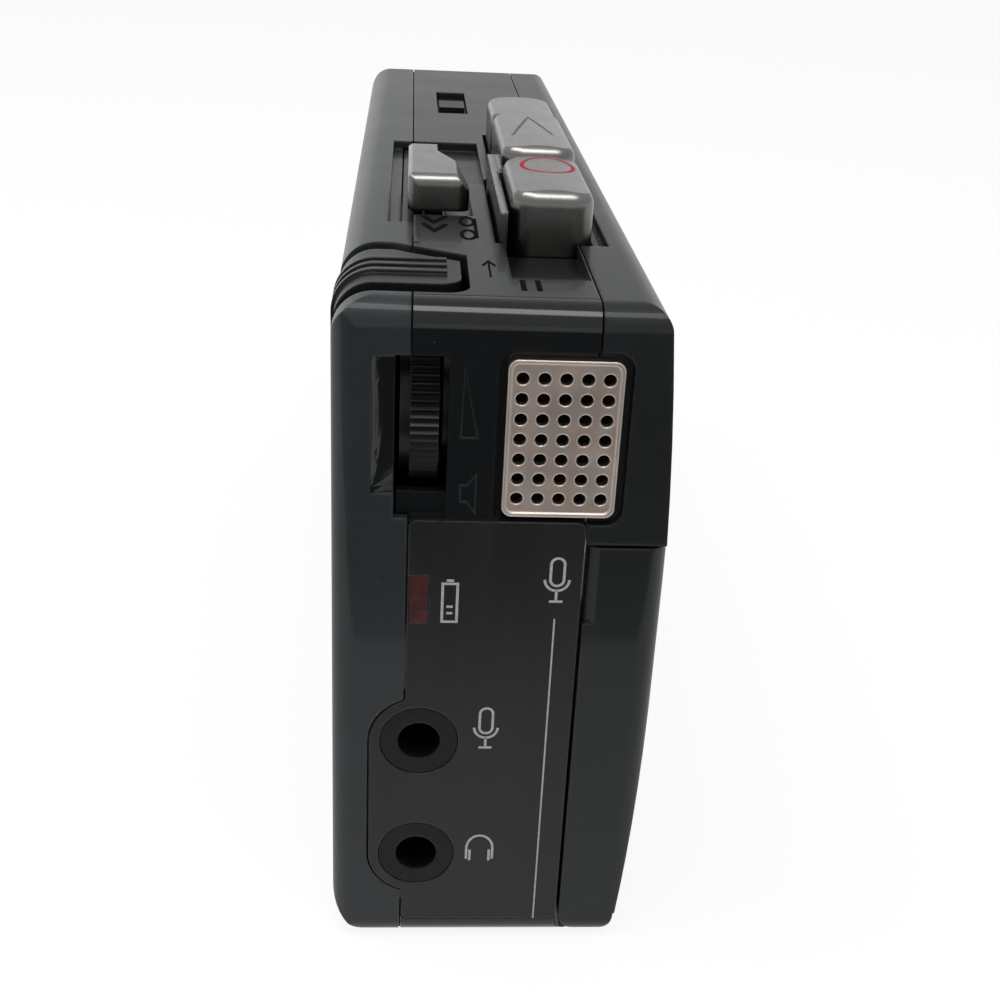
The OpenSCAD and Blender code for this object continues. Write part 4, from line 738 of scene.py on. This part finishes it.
# Case screws: four black-zinc screws, their cross recesses drawn as dark strokes of painted shade on
# the heads. They are sunk in the back and pull the rear cabinet onto posts of the front one.
dress(turned("black_zinc", (0.06, 0.06, 0.065), 0.3), "case_screws")
crosses, arm = [], 0.9
for y, z in ((17, 7), (57, 7), (21, 53), (112, 50)):
    crosses += [behind((y - arm, z), (y + arm, z)), behind((y, z - arm), (y, z + arm))]
stroke("screw_recess_shade", crosses, 0.36, "case_screws", forward, shade_mark_finish, "case", 0.01)


# Studio: a wide white floor, an even white surround, one soft light overhead, and a dark
# card before the object, which only its gloss mirrors.
def stage_plane(name, left, near, right, far, level):
    """A flat sheet of the studio, which is no part of the object."""
    shape = bmesh.new()
    corners = ((left, near), (right, near), (right, far), (left, far))
    shape.faces.new([shape.verts.new((x, y, level)) for x, y in corners])
    mesh = bpy.data.meshes.new(name)
    shape.to_mesh(mesh)
    shape.free()
    made = bpy.data.objects.new(name, mesh)
    bpy.context.scene.collection.objects.link(made)
    return made


def seen_straight(tree):
    """1 for the rays that show the background itself: from the camera, off gloss and through glass."""
    path = tree.nodes.new("ShaderNodeLightPath")
    rays = ("Is Camera Ray", "Is Glossy Ray", "Is Transmission Ray")
    camera, gloss, glass = (Tone(path.outputs[ray]) for ray in rays)
    return camera.work("MAXIMUM", camera.work("MAXIMUM", camera, gloss), glass)


floor = stage_plane("floor", -3, -3, 3, 3, -0.00005)
floor_white = bpy.data.materials.new("floor_white")
floor_white.use_nodes = True
floor_white.node_tree.nodes.clear()
straight = seen_straight(floor_white.node_tree)
paper = straight.node("BsdfDiffuse", {}, {"Color": (0.9, 0.9, 0.9)})
glow = straight.node("Emission", {}, {"Color": (1, 1, 1), "Strength": 1.04})
lit = straight.node("MixShader", {}, {0: straight * 0.85, 1: paper, 2: glow})
straight.node("OutputMaterial", {}, {"Surface": lit})
floor.data.materials.append(floor_white)

world = bpy.data.worlds.new("surround")
world.use_nodes = True
world.node_tree.nodes.clear()
straight = seen_straight(world.node_tree)
above = straight.node("TexCoord", {}, {}, "Generated").part(2).rise(0.06, 0.14)
strength = straight * (0.55 - above * 0.3) + 0.45
sky = straight.node("Background", {}, {"Color": (1, 1, 1), "Strength": strength})
straight.node("OutputWorld", {}, {"Surface": sky})
bpy.context.scene.world = world

overhead = bpy.data.lights.new("overhead", "AREA")
overhead.shape = "RECTANGLE"
overhead.size = 0.7
overhead.size_y = 0.2
overhead.energy = 2.5
soft_light = bpy.data.objects.new("overhead", overhead)
soft_light.location = (-0.1, -0.15, 0.6)
aim = Vector((0, 0, 0.03)) - soft_light.location
soft_light.rotation_euler = aim.to_track_quat("-Z", "Y").to_euler()
bpy.context.scene.collection.objects.link(soft_light)

card_black = bpy.data.materials.new("card_black")
card_black.use_nodes = True
card_black.node_tree.nodes["Principled BSDF"].inputs["Base Color"].default_value = (0.03, 0.03, 0.03, 1)
card = stage_plane("front_card", -0.4, -0.5, 0.4, -0.11, 0.001)
card.data.materials.append(card_black)
card.visible_camera = False
card.visible_diffuse = False
card.visible_shadow = False


# Camera: at the photograph's place, a little above the control side and looking down at the jack end.
# Its turns, place and focal length were fitted to the straight edges of the case.
yaw, pitch, roll = (math.radians(a) for a in (4.402, 25.03, 2.954))
focal_in_widths, sensor = 1.39697, 36
ahead = Vector((math.sin(yaw) * math.cos(pitch), math.cos(yaw) * math.cos(pitch), -math.sin(pitch)))
right = Vector((math.cos(yaw), -math.sin(yaw), 0))
up = right.cross(ahead)
right, up = (math.cos(roll) * right + math.sin(roll) * up, math.cos(roll) * up - math.sin(roll) * right)
lens = bpy.data.cameras.new("camera")
lens.sensor_fit = "HORIZONTAL"
lens.sensor_width = sensor
lens.lens = sensor * focal_in_widths
lens.clip_start = 0.005
camera = bpy.data.objects.new("camera", lens)
turn = Matrix((right, up, -ahead)).transposed()
camera.matrix_world = Matrix.Translation(spot(5.648, -98.71, 90.446)) @ turn.to_4x4()
bpy.context.scene.collection.objects.link(camera)
bpy.context.scene.camera = camera
bpy.context.scene.view_settings.view_transform = "Standard"

bpy.context.view_layer.update()
